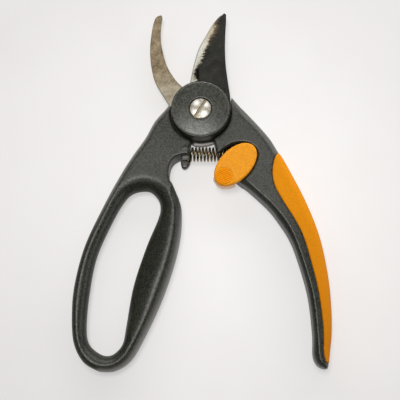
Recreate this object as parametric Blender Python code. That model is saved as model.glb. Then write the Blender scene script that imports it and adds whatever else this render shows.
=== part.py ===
"""Bypass pruner with a closed finger loop, lying flat and held open by its spring.

Axes: +X right, +Y towards the blade tips, +Z up. The origin is on the pivot axis, at the
flat rear face of the pivot nut. Lengths below are in millimetres and become metres in place().
"""

from math import ceil, cos, hypot, pi, radians, sin, sqrt

import bpy
from mathutils import Matrix, Vector
from mathutils.geometry import delaunay_2d_cdt

MM = 0.001
GAP = 0.3
BELOW, ABOVE = -2.0, 20.0
JOIN = 0.8

# Pivot stack, from the rear face up
CAP_R = 16.1
CAP_CHAMFER = 0.8
REAR_CAP_TOP = 5.3
HUB_R = 16.4
HOOK_Z = (5.6, 8.3)
BLADE_Z = (8.6, 11.3)
FRONT_CAP_Z = (11.6, 20.0)
WASHER_T = 0.6
WASHER_R = 9.4
HUB_BORE_R = 5.3
BUSH_R = (3.9, 5.0)
BUSH_SEAT = 1.4
NUT_R = 3.6
NUT_HEAD_R = 6.4
NUT_HEAD_T = 2.0
NUT_TOP = 13.4
SCREW_BORE_Z = 3.4
SCREW_END_Z = 4.2
SCREW_R = 2.1
SCREW_HEAD_R = 5.8
SCREW_HEAD_Z = (17.7, 19.6)
SCREW_DOME = 0.6
SCREW_SEAT_Z = 16.9
SCREW_EASE = 0.5
SLOT_ANGLE = 57.5
SLOT_WIDTH = 1.6
SLOT_DEPTH = 1.0

# Handles
NECK_TOP = 13.8
GRIP_TOP = 14.9
NECK_Y = -28.0
GRIP_Y = -66.0
ROUNDER_Y = (-12.0, -50.0)
ARC_R = 16.8
EDGE_DROP = 6.5
SOFT_R = 5.5
FLANK_R = 7.0
NECK_R = 3.6
CRISP_R = 0.9

# Return spring
SPRING_START = (-14.2, -22.2, 7.5)
SPRING_END = (16.0, -22.6, 7.5)
SPRING_R = 3.6
SPRING_WIRE_R = 0.45
SPRING_TURNS = 16
SPRING_STEPS = 10
POCKET_R = 4.4

# Lock lever
LEVER_CENTRE = (18.7, -30.2)
LEVER_AXES = (14.3, 8.5)
LEVER_TURN = 47.0
LEVER_PIN = (23.0, -26.0)
LEVER_TRAVEL = 16.0
LEVER_Z = (13.1, 15.8)
LEVER_ROUND = 1.0
LEVER_ROOM = 0.45
BLOCK_BOTTOM = 5.6
LUG_BOTTOM = 1.6
LUG = (7.9, -35.8)
LUG_R = 1.2
PIN_R = 1.5
PIN_HEAD_R = 2.8
PIN_HEAD_T = 1.4
PIN_TOP = 14.2
THUMB_PAD = (12.4, -36.9)
THUMB_PAD_R = 4.6
THUMB_PAD_Z = (14.4, 16.0)
THUMB_PAD_EASE = (0.6, 0.4)
NUB_Z = (1.2, 5.2)

LOOP_OUTER = [
    (-17.2, 4.7), (-24.9, -3.9), (-30.2, -13.8), (-36.9, -23.8), (-42.9, -33.8),
    (-53.2, -53.9), (-61.8, -74.1), (-66.5, -94.4), (-67.3, -110.0), (-65.8, -124.5),
    (-60.4, -134.4), (-52.2, -139.1), (-44.6, -138.8), (-36.8, -134.1), (-30.5, -124.3),
    (-21.1, -104.2), (-14.2, -84.1), (-10.8, -68.0), (-10.4, -55.0), (-11.5, -49.0),
    (-13.4, -44.3), (-15.3, -40.2),
]
LOOP_NOTCH = [
    (-15.3, -40.2), (-16.9, -37.6), (-17.3, -32.5), (-16.0, -27.7), (-12.9, -24.8),
    (-9.4, -23.8), (-6.6, -23.6),
]
LOOP_FACE = [(-6.6, -23.6), (-6.1, -20.0), (-5.5, -16.9)]
LOOP_ARC = (-109.0, -189.6)
FINGER_HOLE = [
    (-31.1, -43.1), (-26.7, -44.0), (-22.9, -48.3), (-21.9, -53.3), (-23.4, -59.5),
    (-29.3, -74.1), (-35.6, -94.4), (-38.9, -114.6), (-40.5, -124.7), (-44.6, -129.7),
    (-48.8, -131.0), (-53.4, -129.4), (-58.2, -124.9), (-59.9, -117.0), (-58.9, -99.3),
    (-55.4, -78.9), (-46.9, -58.6), (-41.1, -48.4), (-36.8, -44.4),
]
NUB = [
    (-6.5, -20.5), (-6.2, -25.5), (-7.2, -28.3), (-8.8, -30.4), (-10.3, -29.2),
    (-11.0, -26.5), (-10.8, -20.5),
]

LOCK_OUTER = [
    (16.8, 8.7), (19.8, 5.7), (24.3, 1.3), (30.3, -5.1), (37.8, -14.4), (42.2, -22.3),
    (45.4, -27.7), (55.4, -48.6), (62.8, -69.1), (66.5, -89.3), (67.6, -106.5),
    (67.3, -119.6), (66.0, -129.7), (65.2, -135.4), (64.4, -138.0),
]
GRIP_FIRST = (42.2, -22.3)
GRIP_LAST = (65.2, -135.4)
LOCK_FLANK = [
    (64.4, -138.0), (60.9, -136.8), (58.6, -134.0), (57.7, -129.7), (57.9, -119.6),
    (56.0, -99.4), (50.8, -79.2), (46.9, -69.1), (42.0, -61.0), (36.2, -53.1),
    (26.8, -43.9), (21.8, -40.0),
]
LOCK_NOTCH = [(21.8, -40.0), (18.3, -37.2), (14.6, -33.5), (12.0, -29.8), (9.6, -28.3)]
LOCK_FACE = [(9.6, -28.3), (8.9, -23.4), (7.9, -18.0), (7.3, -15.9)]
LOCK_ARC = (-65.0, 9.0)
GRIP_INNER = [
    GRIP_FIRST, (39.6, -27.0), (38.4, -34.5), (39.6, -42.0), (43.5, -50.0),
    (49.6, -60.4), (54.0, -70.0), (58.0, -85.0), (61.0, -100.0), (62.6, -117.0),
    (62.4, -129.0), (63.3, -134.0), GRIP_LAST,
]
CRESCENT = [
    (7.0, -24.6), (10.4, -22.4), (13.2, -20.0), (16.8, -18.0), (20.4, -17.0),
    (24.0, -17.1), (26.7, -17.9), (29.3, -19.9), (30.4, -22.5), (26.0, -30.0), (8.0, -30.0),
]
NUB_NOTCH = [(2.0, -22.4), (12.8, -22.4), (13.8, -27.0), (13.0, -34.0), (2.0, -34.0)]

BLADE_SPINE = [
    (16.3, -2.0), (16.3, 4.0), (16.3, 9.1), (15.0, 19.1), (13.9, 29.0), (13.6, 39.0),
    (13.9, 48.9), (14.3, 55.0), (14.4, 59.3),
]
BLADE_EDGE = [
    (13.4, 60.9), (12.4, 60.5), (10.4, 59.0), (8.4, 56.6), (6.1, 53.3), (4.0, 49.6), (2.0, 45.8),
    (-0.1, 42.0), (-1.7, 38.2), (-2.8, 34.5), (-4.2, 29.0), (-5.2, 24.0), (-6.0, 19.5), (-6.5, 15.3),
]
BLADE_BEVEL = 2.9
BLADE_BEVEL_DROP = 2.1
BLADE_TANG = [
    (-12.0, -3.5), (-17.0, -6.5), (-23.0, -11.5), (-29.5, -21.5), (-34.5, -31.0),
    (-32.0, -37.0), (-25.0, -34.0), (-20.5, -26.0), (-17.0, -18.5), (-11.5, -12.5), (-7.0, -9.5),
]
HOOK_OUTER = [
    (-23.0, 60.9), (-25.6, 59.6), (-27.0, 55.9), (-28.0, 50.3), (-28.8, 40.3),
    (-28.1, 30.3), (-25.7, 20.3), (-20.1, 10.3), (-17.2, 5.3), (-16.5, 2.6), (-16.4, -1.0),
]
HOOK_INNER = [
    (-7.5, 15.0), (-10.2, 17.0), (-13.5, 20.3), (-16.9, 25.3), (-19.4, 30.3), (-20.8, 35.3),
    (-22.0, 40.3), (-22.8, 45.3), (-23.0, 50.3), (-22.7, 55.3), (-22.1, 59.6), (-22.2, 60.4),
]
HOOK_TANG = [
    (8.5, -9.0), (12.0, -12.0), (20.5, -13.0), (26.5, -14.2), (30.8, -17.6), (33.4, -22.6),
    (36.6, -24.4), (36.0, -20.0), (31.0, -12.2), (24.5, -5.5), (17.0, -1.5), (12.5, -1.5),
]


def clear_scene():
    for old in list(bpy.data.objects):
        bpy.data.objects.remove(old)


def curve_through(points, step, closed=False):
    """Catmull-Rom curve through the points, read about every step."""
    last = len(points) - 1
    spans = len(points) if closed else last

    def at(index):
        if closed:
            return points[index % len(points)]
        return points[max(0, min(last, index))]

    found = []
    for span in range(spans):
        before, start, end, after = (at(span + shift) for shift in (-1, 0, 1, 2))
        count = max(1, ceil(hypot(end[0] - start[0], end[1] - start[1]) / step))
        for part in range(count):
            t = part / count
            found.append(tuple(
                0.5 * (2 * b + (c - a) * t + (2 * a - 5 * b + 4 * c - d) * t * t
                       + (3 * b - a - 3 * c + d) * t ** 3)
                for a, b, c, d in zip(before, start, end, after)
            ))
    if not closed:
        found.append(points[-1])
    return found


def arc(centre, radius, first, last, count):
    """Points on a circle from the first to the last angle, in degrees."""
    angles = [radians(first + (last - first) * i / count) for i in range(count + 1)]
    return [(centre[0] + radius * cos(a), centre[1] + radius * sin(a)) for a in angles]


def circle(centre, radius, count):
    return arc(centre, radius, 0, 360 * (count - 1) / count, count - 1)


def ellipse(centre, axes, turn, count, first=0.0, last=360.0, closed=True):
    steps = count if closed else count + 1
    found = []
    for i in range(steps):
        t = radians(first + (last - first) * i / count)
        u, v = axes[0] * cos(t), axes[1] * sin(t)
        c, s = cos(radians(turn)), sin(radians(turn))
        found.append((centre[0] + u * c - v * s, centre[1] + u * s + v * c))
    return found


def turned_about(points, centre, degrees):
    c, s = cos(radians(degrees)), sin(radians(degrees))
    return [
        (centre[0] + (x - centre[0]) * c - (y - centre[1]) * s,
         centre[1] + (x - centre[0]) * s + (y - centre[1]) * c)
        for x, y in points
    ]


def signed_area(loop):
    return sum(a[0] * b[1] - b[0] * a[1] for a, b in zip(loop, loop[1:] + loop[:1])) / 2


def anticlockwise(loop):
    return loop if signed_area(loop) > 0 else loop[::-1]


def apart(a, b):
    return hypot(a[0] - b[0], a[1] - b[1])


def chained(*runs):
    """One run from several, without the repeated ends."""
    found = []
    for run in runs:
        for point in run:
            if not found or apart(point, found[-1]) > 0.05:
                found.append(point)
    return found


def joined(*runs):
    """One loop from runs of points."""
    loop = chained(*runs)
    if apart(loop[0], loop[-1]) < 0.05:
        loop.pop()
    return loop


def nearest(point, run):
    """Index of the run's point nearest to this one."""
    return min(range(len(run)), key=lambda i: apart(point, run[i]))


def distance(point, run):
    """Shortest distance from a point to a run of points joined by lines."""
    best = 1e9
    for (ax, ay), (bx, by) in zip(run, run[1:]):
        dx, dy = bx - ax, by - ay
        t = ((point[0] - ax) * dx + (point[1] - ay) * dy) / (dx * dx + dy * dy)
        t = max(0.0, min(1.0, t))
        best = min(best, hypot(point[0] - ax - t * dx, point[1] - ay - t * dy))
    return best


def inside(point, loops):
    x, y = point
    odd = False
    for loop in loops:
        for (ax, ay), (bx, by) in zip(loop, loop[1:] + loop[:1]):
            if (ay > y) != (by > y) and x < ax + (y - ay) * (bx - ax) / (by - ay):
                odd = not odd
    return odd


def grown(loop, amount):
    """The loop moved outward by the amount."""
    loop = anticlockwise(loop)
    found = []
    for before, here, after in zip(loop[-1:] + loop[:-1], loop, loop[1:] + loop[:1]):
        first = Vector(here) - Vector(before)
        second = Vector(after) - Vector(here)
        n1 = Vector((first.y, -first.x)).normalized()
        n2 = Vector((second.y, -second.x)).normalized()
        bisector = (n1 + n2).normalized()
        reach = amount / max(0.5, bisector.dot(n1))
        found.append((here[0] + bisector.x * reach, here[1] + bisector.y * reach))
    return found


def rounding(depth, radius, drop):
    """How far a surface has fallen at this depth inside a rounded edge."""
    if depth >= radius:
        return 0.0
    return drop * (1 - sqrt(max(0.0, 1 - ((radius - depth) / radius) ** 2)))


def prism(loop, low, high):
    loop = anticlockwise(loop)
    count = len(loop)
    verts = [(x, y, z) for z in (low, high) for x, y in loop]
    faces = [tuple(range(count))[::-1], tuple(range(count, 2 * count))]
    for i in range(count):
        after = (i + 1) % count
        faces.append((i, after, count + after, count + i))
    return verts, faces


def turned(profile, centre, segments, hollow):
    """Solid of revolution about a vertical axis. The profile runs up its outer side."""
    verts, rings = [], []
    for radius, z in profile:
        if radius == 0:
            rings.append([len(verts)] * segments)
            verts.append((centre[0], centre[1], z))
            continue
        rings.append([len(verts) + i for i in range(segments)])
        for i in range(segments):
            a = 2 * pi * i / segments
            verts.append((centre[0] + radius * cos(a), centre[1] + radius * sin(a), z))
    faces = []
    pairs = list(zip(rings, rings[1:]))
    if hollow:
        pairs.append((rings[-1], rings[0]))
    for lower, upper in pairs:
        for i in range(segments):
            j = (i + 1) % segments
            ring = (lower[i], lower[j], upper[j], upper[i])
            faces.append(tuple(dict.fromkeys(ring)))
    return verts, faces


def pillow(loops, height, rows, grid):
    """Closed solid over a flat outline with holes: height(point) gives bottom and top."""
    points, edges = [], []
    for loop in loops:
        start = len(points)
        points += loop
        edges += [(start + i, start + (i + 1) % len(loop)) for i in range(len(loop))]
    borders = [loop + loop[:1] for loop in loops]

    def clearance(point):
        return min(distance(point, run) for run in borders)

    for loop, sign in [(loops[0], -1)] + [(hole, 1) for hole in loops[1:]]:
        for depth in rows:
            for point in grown(loop, sign * depth):
                if inside(point, loops) and clearance(point) > 0.8 * depth:
                    points.append(point)
    low = [min(p[k] for p in loops[0]) for k in (0, 1)]
    high = [max(p[k] for p in loops[0]) for k in (0, 1)]
    for row in range(ceil((high[1] - low[1]) / grid)):
        for column in range(ceil((high[0] - low[0]) / grid)):
            point = (low[0] + (column + 0.5 * (row % 2)) * grid, low[1] + row * grid)
            if inside(point, loops) and clearance(point) > rows[-1] + 0.5 * grid:
                points.append(point)

    flat, _, triangles, *_ = delaunay_2d_cdt([Vector(p) for p in points], edges, [], 0, 1e-5)
    kept = []
    for triangle in triangles:
        middle = sum((flat[i] for i in triangle), Vector((0, 0))) / 3
        if inside(middle, loops):
            a, b, c = (flat[i] for i in triangle)
            ahead = (b - a).cross(c - a) > 0
            kept.append(tuple(triangle) if ahead else tuple(triangle)[::-1])
    used = sorted({i for triangle in kept for i in triangle})
    place_of = {old: new for new, old in enumerate(used)}
    count = len(used)
    heights = [height((flat[i].x, flat[i].y)) for i in used]
    verts = [(flat[i].x, flat[i].y, h[0]) for i, h in zip(used, heights)]
    verts += [(flat[i].x, flat[i].y, h[1]) for i, h in zip(used, heights)]
    faces, sides = [], set()
    for triangle in kept:
        a, b, c = (place_of[i] for i in triangle)
        faces += [(c, b, a), (a + count, b + count, c + count)]
        sides |= {(a, b), (b, c), (c, a)}
    for a, b in sides:
        if (b, a) not in sides:
            faces.append((a, b, b + count, a + count))
    return verts, faces


MATERIALS = {
    "black_nylon": ((0.085, 0.095, 0.078), 0.62, 0.0),
    "orange_nylon": ((0.89, 0.35, 0.03), 0.45, 0.0),
    "orange_soft": ((0.76, 0.27, 0.012), 0.75, 0.0),
    "coated_blade": ((0.025, 0.024, 0.022), 0.35, 0.6),
    "tan_steel": ((0.28, 0.21, 0.125), 0.42, 0.9),
    "bright_steel": ((0.66, 0.65, 0.63), 0.28, 1.0),
    "spring_steel": ((0.2, 0.155, 0.09), 0.32, 1.0),
    "zinc_steel": ((0.5, 0.5, 0.49), 0.4, 1.0),
    "bearing_nylon": ((0.72, 0.7, 0.64), 0.5, 0.0),
}


def material(name):
    found = bpy.data.materials.get(name)
    if found:
        return found
    colour, roughness, metallic = MATERIALS[name]
    made = bpy.data.materials.new(name)
    made.use_nodes = True
    shader = made.node_tree.nodes["Principled BSDF"]
    shader.inputs["Base Color"].default_value = (*colour, 1.0)
    shader.inputs["Roughness"].default_value = roughness
    shader.inputs["Metallic"].default_value = metallic
    return made


def axis_empty(name, centre):
    empty = bpy.data.objects.new(name, None)
    empty.location = (centre[0] * MM, centre[1] * MM, 0)
    empty["centre"] = (centre[0], centre[1], 0.0)
    bpy.context.scene.collection.objects.link(empty)
    return empty


def place(name, shape, finish=None, parent=None):
    """A named object from a shape in millimetres, its origin on its parent's axis."""
    origin = Vector(parent["centre"]) if parent else Vector((0, 0, 0))
    verts, faces = shape
    mesh = bpy.data.meshes.new(name)
    mesh.from_pydata([(Vector(v) - origin) * MM for v in verts], [], faces)
    mesh.shade_smooth()
    mesh.set_sharp_from_angle(angle=radians(38))
    obj = bpy.data.objects.new(name, mesh)
    obj.parent = parent
    bpy.context.scene.collection.objects.link(obj)
    if finish:
        mesh.materials.append(material(finish))
    else:
        obj.hide_render = True
        obj.display_type = "WIRE"
    return obj


def boolean(obj, operation, shape, label):
    """Cuts or joins a hidden helper shape, kept as a live modifier."""
    helper = place(f"{obj.name}_{label}", shape, parent=obj.parent)
    modifier = obj.modifiers.new(label, "BOOLEAN")
    modifier.operation = operation
    modifier.solver = "EXACT"
    modifier.object = helper


def along(start, end, radius, segments):
    """Cylinder between two points, for a cutter."""
    start, end = Vector(start), Vector(end)
    turn = (end - start).to_track_quat("Z", "Y").to_matrix().to_4x4()
    verts, faces = prism(circle((0, 0), radius, segments), 0.0, (end - start).length)
    return [Matrix.Translation(start) @ turn @ Vector(v) for v in verts], faces


def blend_y(y, first, last):
    t = max(0.0, min(1.0, (y - first) / (last - first)))
    return t * t * (3 - 2 * t)


def handle_height(point, soft, crisp, neck):
    """Bottom and top of a handle: soft, crisp and neck are runs with their own rounding."""
    top = NECK_TOP + (GRIP_TOP - NECK_TOP) * blend_y(point[1], NECK_Y, GRIP_Y)
    wide = blend_y(point[1], *ROUNDER_Y)
    drop = max(
        rounding(distance(point, crisp), CRISP_R, CRISP_R),
        rounding(distance(point, neck), NECK_R + (SOFT_R - NECK_R) * wide, EDGE_DROP),
        *(rounding(distance(point, run), radius, EDGE_DROP) for run, radius in soft),
    )
    return drop, top - drop


def make_loop_handle(closing_axis):
    outer = curve_through(LOOP_OUTER, step=5.0)
    notch = curve_through(LOOP_NOTCH, step=3.5)
    face = curve_through(LOOP_FACE, step=4.0)
    clearance_arc = arc((0, 0), ARC_R, *LOOP_ARC, count=9)
    hole = curve_through(FINGER_HOLE, step=5.5, closed=True)
    crisp = chained(notch, face, clearance_arc, outer[:1])
    outline = anticlockwise(joined(outer, notch, face, clearance_arc))
    soft = [(hole + hole[:1], SOFT_R)]

    def height(point):
        return handle_height(point, soft, crisp, outer)

    loops = [outline, anticlockwise(hole)[::-1]]
    shape = pillow(loops, height, rows=(0.9, 2.6, SOFT_R), grid=9.0)
    handle = place("loop_handle", shape, "black_nylon", closing_axis)
    boolean(handle, "UNION", prism(NUB, *NUB_Z), "nub")
    slot = prism(grown(BLADE_TANG, GAP), BLADE_Z[0] - GAP, BLADE_Z[1] + GAP)
    boolean(handle, "DIFFERENCE", slot, "tang_slot")
    mouth = (0.0, SPRING_START[1] - 0.2, SPRING_START[2])
    seat = (SPRING_START[0] - SPRING_WIRE_R - GAP, SPRING_START[1], SPRING_START[2])
    boolean(handle, "DIFFERENCE", along(mouth, seat, POCKET_R, 18), "spring_pocket")


def lever_outline(extra, turn=0.0, count=36):
    axes = (LEVER_AXES[0] + extra, LEVER_AXES[1] + extra)
    oval = ellipse(LEVER_CENTRE, axes, LEVER_TURN, count)
    return turned_about(oval, LEVER_PIN, turn)


def make_lock_handle():
    outer = curve_through(LOCK_OUTER, step=5.5)
    flank = curve_through(LOCK_FLANK, step=5.5)
    face = curve_through(LOCK_FACE, step=4.0)
    clearance_arc = arc((0, 0), ARC_R, *LOCK_ARC, count=9)
    crisp = chained(LOCK_NOTCH, face, clearance_arc, outer[:1])

    def height(point):
        return handle_height(point, [(flank, FLANK_R)], crisp, outer)

    seam = curve_through(GRIP_INNER, step=5.5)
    grip_edge = outer[nearest(GRIP_FIRST, outer):nearest(GRIP_LAST, outer) + 1]
    grip = anticlockwise(joined(grip_edge, seam[::-1]))
    whole = anticlockwise(joined(outer, flank, LOCK_NOTCH, face, clearance_arc))

    place("soft_grip", pillow([grip], height, rows=(0.9, 2.2), grid=7.0), "orange_soft")
    body = pillow([whole], height, rows=(0.9, 2.6, 5.0), grid=8.0)
    handle = place("lock_handle", body, "black_nylon")
    recess_floor = LEVER_Z[0] - GAP
    cuts = {
        "grip_bed": prism(grown(grip, GAP), BELOW, ABOVE),
        "tang_slot": prism(grown(HOOK_TANG, GAP), HOOK_Z[0] - GAP, HOOK_Z[1] + GAP),
        "recess": prism(CRESCENT, recess_floor, ABOVE),
        "recess_rest": prism(lever_outline(LEVER_ROOM), recess_floor, ABOVE),
        "recess_half": prism(lever_outline(LEVER_ROOM, -LEVER_TRAVEL / 2), recess_floor, ABOVE),
        "recess_locked": prism(lever_outline(LEVER_ROOM, -LEVER_TRAVEL), recess_floor, ABOVE),
        "nub_notch": prism(NUB_NOTCH, BELOW, NUB_Z[1] + GAP),
        "spring_pocket": along(
            (0.0, SPRING_END[1] + 0.2, SPRING_END[2]),
            (SPRING_END[0] + SPRING_WIRE_R + GAP, SPRING_END[1], SPRING_END[2]), POCKET_R, 18),
        "pin_bore": prism(circle(LEVER_PIN, PIN_R + GAP, 20), BELOW, ABOVE),
        "pin_seat": prism(circle(LEVER_PIN, PIN_HEAD_R + GAP, 24), BELOW, PIN_HEAD_T + 2 * GAP),
    }
    for label, shape in cuts.items():
        boolean(handle, "DIFFERENCE", shape, label)


def make_cutting_blade(closing_axis):
    spine = curve_through(BLADE_SPINE, step=8.0)
    edge = curve_through(BLADE_EDGE, step=6.0)
    hub = arc((0, 0), HUB_R, 114.0, 352.0, count=26)
    outline = joined(spine, edge, hub)

    def height(point):
        fall = BLADE_BEVEL_DROP * max(0.0, 1 - distance(point, edge) / BLADE_BEVEL)
        return BLADE_Z[0], BLADE_Z[1] - fall

    shape = pillow([anticlockwise(outline)], height, rows=(BLADE_BEVEL,), grid=12.0)
    blade = place("cutting_blade", shape, "coated_blade", closing_axis)
    boolean(blade, "UNION", prism(BLADE_TANG, *BLADE_Z), "tang")
    bore = prism(circle((0, 0), HUB_BORE_R, 32), BELOW, ABOVE)
    boolean(blade, "DIFFERENCE", bore, "bore")


def make_hook_jaw():
    outer = curve_through(HOOK_OUTER, step=8.0)
    inner = curve_through(HOOK_INNER, step=6.0)
    hub = arc((0, 0), HUB_R, 184.0, 477.0, count=30)
    outline = joined(outer, hub, inner)
    hook = place("hook_jaw", prism(outline, *HOOK_Z), "tan_steel")
    boolean(hook, "UNION", prism(HOOK_TANG, *HOOK_Z), "tang")
    bore = prism(circle((0, 0), HUB_BORE_R, 32), BELOW, ABOVE)
    boolean(hook, "DIFFERENCE", bore, "bore")


def ring(inner, outer, low, high):
    return [(outer, low), (outer, high), (inner, high), (inner, low)]


def make_pivot_stack():
    bore = BUSH_R[1] + GAP
    washer_bed = WASHER_T + GAP
    chamfer = CAP_CHAMFER
    rear = [
        (NUT_HEAD_R + GAP, 0.0), (CAP_R - chamfer, 0.0), (CAP_R, chamfer),
        (CAP_R, REAR_CAP_TOP), (WASHER_R + GAP, REAR_CAP_TOP),
        (WASHER_R + GAP, REAR_CAP_TOP - washer_bed), (bore, REAR_CAP_TOP - washer_bed),
        (bore, REAR_CAP_TOP - 2 * washer_bed), (NUT_R + GAP, REAR_CAP_TOP - 2 * washer_bed),
        (NUT_R + GAP, NUT_HEAD_T + GAP), (NUT_HEAD_R + GAP, NUT_HEAD_T + GAP),
    ]
    place("rear_pivot_cap", turned(rear, (0, 0), 48, True), "black_nylon")
    low, high = FRONT_CAP_Z
    front = [
        (WASHER_R + GAP, low), (CAP_R, low), (CAP_R, high - chamfer), (CAP_R - chamfer, high),
        (SCREW_HEAD_R + 2 * GAP, high), (SCREW_HEAD_R + 2 * GAP, SCREW_SEAT_Z),
        (SCREW_R + GAP, SCREW_SEAT_Z), (SCREW_R + GAP, NUT_TOP + GAP), (NUT_R + GAP, NUT_TOP + GAP),
        (NUT_R + GAP, low + BUSH_SEAT), (bore, low + BUSH_SEAT), (bore, low + washer_bed),
        (WASHER_R + GAP, low + washer_bed),
    ]
    place("front_pivot_cap", turned(front, (0, 0), 48, True), "black_nylon")

    rear_washer = ring(bore, WASHER_R, REAR_CAP_TOP - WASHER_T, REAR_CAP_TOP)
    place("rear_thrust_washer", turned(rear_washer, (0, 0), 32, True), "bearing_nylon")
    front_washer = ring(bore, WASHER_R, low, low + WASHER_T)
    place("front_thrust_washer", turned(front_washer, (0, 0), 32, True), "bearing_nylon")
    bush = ring(*BUSH_R, REAR_CAP_TOP - 2 * washer_bed + GAP, low + BUSH_SEAT - GAP)
    place("pivot_bush", turned(bush, (0, 0), 28, True), "zinc_steel")
    nut = [
        (0, 0.0), (NUT_HEAD_R, 0.0), (NUT_HEAD_R, NUT_HEAD_T), (NUT_R, NUT_HEAD_T),
        (NUT_R, NUT_TOP), (SCREW_R + GAP, NUT_TOP), (SCREW_R + GAP, SCREW_BORE_Z), (0, SCREW_BORE_Z),
    ]
    place("pivot_nut", turned(nut, (0, 0), 32, False), "zinc_steel")
    spring_washer = ring(SCREW_R + GAP, SCREW_HEAD_R - 0.4, SCREW_SEAT_Z + 0.1, SCREW_HEAD_Z[0] - 0.2)
    place("spring_washer", turned(spring_washer, (0, 0), 28, True), "zinc_steel")
    base, rim = SCREW_HEAD_Z
    screw = [
        (0, SCREW_END_Z), (SCREW_R, SCREW_END_Z), (SCREW_R, base), (SCREW_HEAD_R, base),
        (SCREW_HEAD_R, rim - SCREW_EASE), (SCREW_HEAD_R - SCREW_EASE, rim),
        (SCREW_HEAD_R * 0.55, rim + 0.75 * SCREW_DOME), (0, rim + SCREW_DOME),
    ]
    bolt = place("pivot_screw", turned(screw, (0, 0), 32, False), "bright_steel")
    half = SCREW_HEAD_R + 1.0
    slot = [(-half, -SLOT_WIDTH / 2), (half, -SLOT_WIDTH / 2),
            (half, SLOT_WIDTH / 2), (-half, SLOT_WIDTH / 2)]
    slot = turned_about(slot, (0, 0), SLOT_ANGLE)
    boolean(bolt, "DIFFERENCE", prism(slot, rim - SLOT_DEPTH + SCREW_DOME, rim + 3.0), "slot")


def make_lock_lever(lock_axis):
    oval = lever_outline(0.0, count=40)
    closed = oval + oval[:1]

    def height(point):
        return LEVER_Z[0], LEVER_Z[1] - rounding(distance(point, closed), LEVER_ROUND, LEVER_ROUND)

    plate = pillow([oval], height, rows=(0.3, LEVER_ROUND), grid=9.0)
    lever = place("lock_lever", plate, "orange_nylon", lock_axis)
    rim = ellipse(LEVER_CENTRE, (LEVER_AXES[0] - 0.2, LEVER_AXES[1] - 0.2), LEVER_TURN, 14,
                  135.0, 238.0, closed=False)
    block = rim + [(16.2, -37.6), (12.6, -35.0), (10.6, -33.6)]
    boolean(lever, "UNION", prism(block, BLOCK_BOTTOM, LEVER_Z[0] + JOIN), "thumb_block")
    boolean(lever, "UNION", prism(circle(LUG, LUG_R, 14), LUG_BOTTOM, BLOCK_BOTTOM + JOIN), "catch")
    pin_hole = prism(circle(LEVER_PIN, PIN_R + GAP, 20), 0.0, PIN_TOP + GAP)
    boolean(lever, "DIFFERENCE", pin_hole, "pin_hole")
    pad_bed = prism(circle(THUMB_PAD, THUMB_PAD_R + GAP, 24), THUMB_PAD_Z[0] - GAP, ABOVE)
    boolean(lever, "DIFFERENCE", pad_bed, "pad_bed")
    low, high = THUMB_PAD_Z
    inward, down = THUMB_PAD_EASE
    pad = [
        (0, low), (THUMB_PAD_R, low), (THUMB_PAD_R, high - down), (THUMB_PAD_R - inward, high), (0, high),
    ]
    place("thumb_pad", turned(pad, THUMB_PAD, 24, False), "orange_soft", lock_axis)
    pin = [
        (0, GAP), (PIN_HEAD_R, GAP), (PIN_HEAD_R, PIN_HEAD_T + GAP), (PIN_R, PIN_HEAD_T + GAP),
        (PIN_R, PIN_TOP), (0, PIN_TOP),
    ]
    place("lever_pin", turned(pin, LEVER_PIN, 20, False), "zinc_steel")


def make_return_spring():
    start, end = Vector(SPRING_START), Vector(SPRING_END)
    ahead = (end - start).normalized()
    side = ahead.cross(Vector((0, 0, 1))).normalized()
    up = side.cross(ahead)
    count = SPRING_TURNS * SPRING_STEPS
    curve = bpy.data.curves.new("return_spring", "CURVE")
    curve.dimensions = "3D"
    curve.bevel_depth = SPRING_WIRE_R * MM
    curve.bevel_resolution = 1
    curve.use_fill_caps = True
    wire = curve.splines.new("POLY")
    wire.points.add(count)
    for i in range(count + 1):
        a = 2 * pi * i / SPRING_STEPS
        point = start + (end - start) * i / count + (side * cos(a) + up * sin(a)) * SPRING_R
        wire.points[i].co = (*(point * MM), 1.0)
    spring = bpy.data.objects.new("return_spring", curve)
    curve.materials.append(material("spring_steel"))
    bpy.context.scene.collection.objects.link(spring)


def main():
    clear_scene()
    closing_axis = axis_empty("closing_axis", (0.0, 0.0))
    lock_axis = axis_empty("lock_axis", LEVER_PIN)
    make_pivot_stack()
    make_hook_jaw()
    make_cutting_blade(closing_axis)
    make_loop_handle(closing_axis)
    make_lock_handle()
    make_lock_lever(lock_axis)
    make_return_spring()


main()
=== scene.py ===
"""Looks of the hand bypass pruner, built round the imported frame.

Lengths are in millimetres, but for those of the stage and its lights, which are in metres.
"""

from math import ceil, cos, hypot, pi, radians, sin

import bpy
import numpy as np
from mathutils import Matrix, Vector
from mathutils.geometry import delaunay_2d_cdt


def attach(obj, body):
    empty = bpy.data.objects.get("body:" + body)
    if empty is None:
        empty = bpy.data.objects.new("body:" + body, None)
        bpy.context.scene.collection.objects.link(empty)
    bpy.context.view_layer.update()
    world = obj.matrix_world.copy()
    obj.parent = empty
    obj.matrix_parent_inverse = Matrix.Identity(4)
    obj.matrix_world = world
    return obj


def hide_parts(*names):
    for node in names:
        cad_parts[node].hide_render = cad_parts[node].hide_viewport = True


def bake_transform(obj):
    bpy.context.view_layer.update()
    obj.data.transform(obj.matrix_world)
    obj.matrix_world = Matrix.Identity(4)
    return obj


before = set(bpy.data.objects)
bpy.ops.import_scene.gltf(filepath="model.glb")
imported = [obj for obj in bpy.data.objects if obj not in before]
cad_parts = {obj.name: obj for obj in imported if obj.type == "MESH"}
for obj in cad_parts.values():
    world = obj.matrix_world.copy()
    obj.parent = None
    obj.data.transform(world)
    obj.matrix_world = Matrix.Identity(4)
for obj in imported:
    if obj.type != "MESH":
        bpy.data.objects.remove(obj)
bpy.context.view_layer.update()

MM = 0.001
HOOK_SIDE, BLADE_SIDE, LEVER = "hook_side", "blade_side", "lock_lever"

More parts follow.
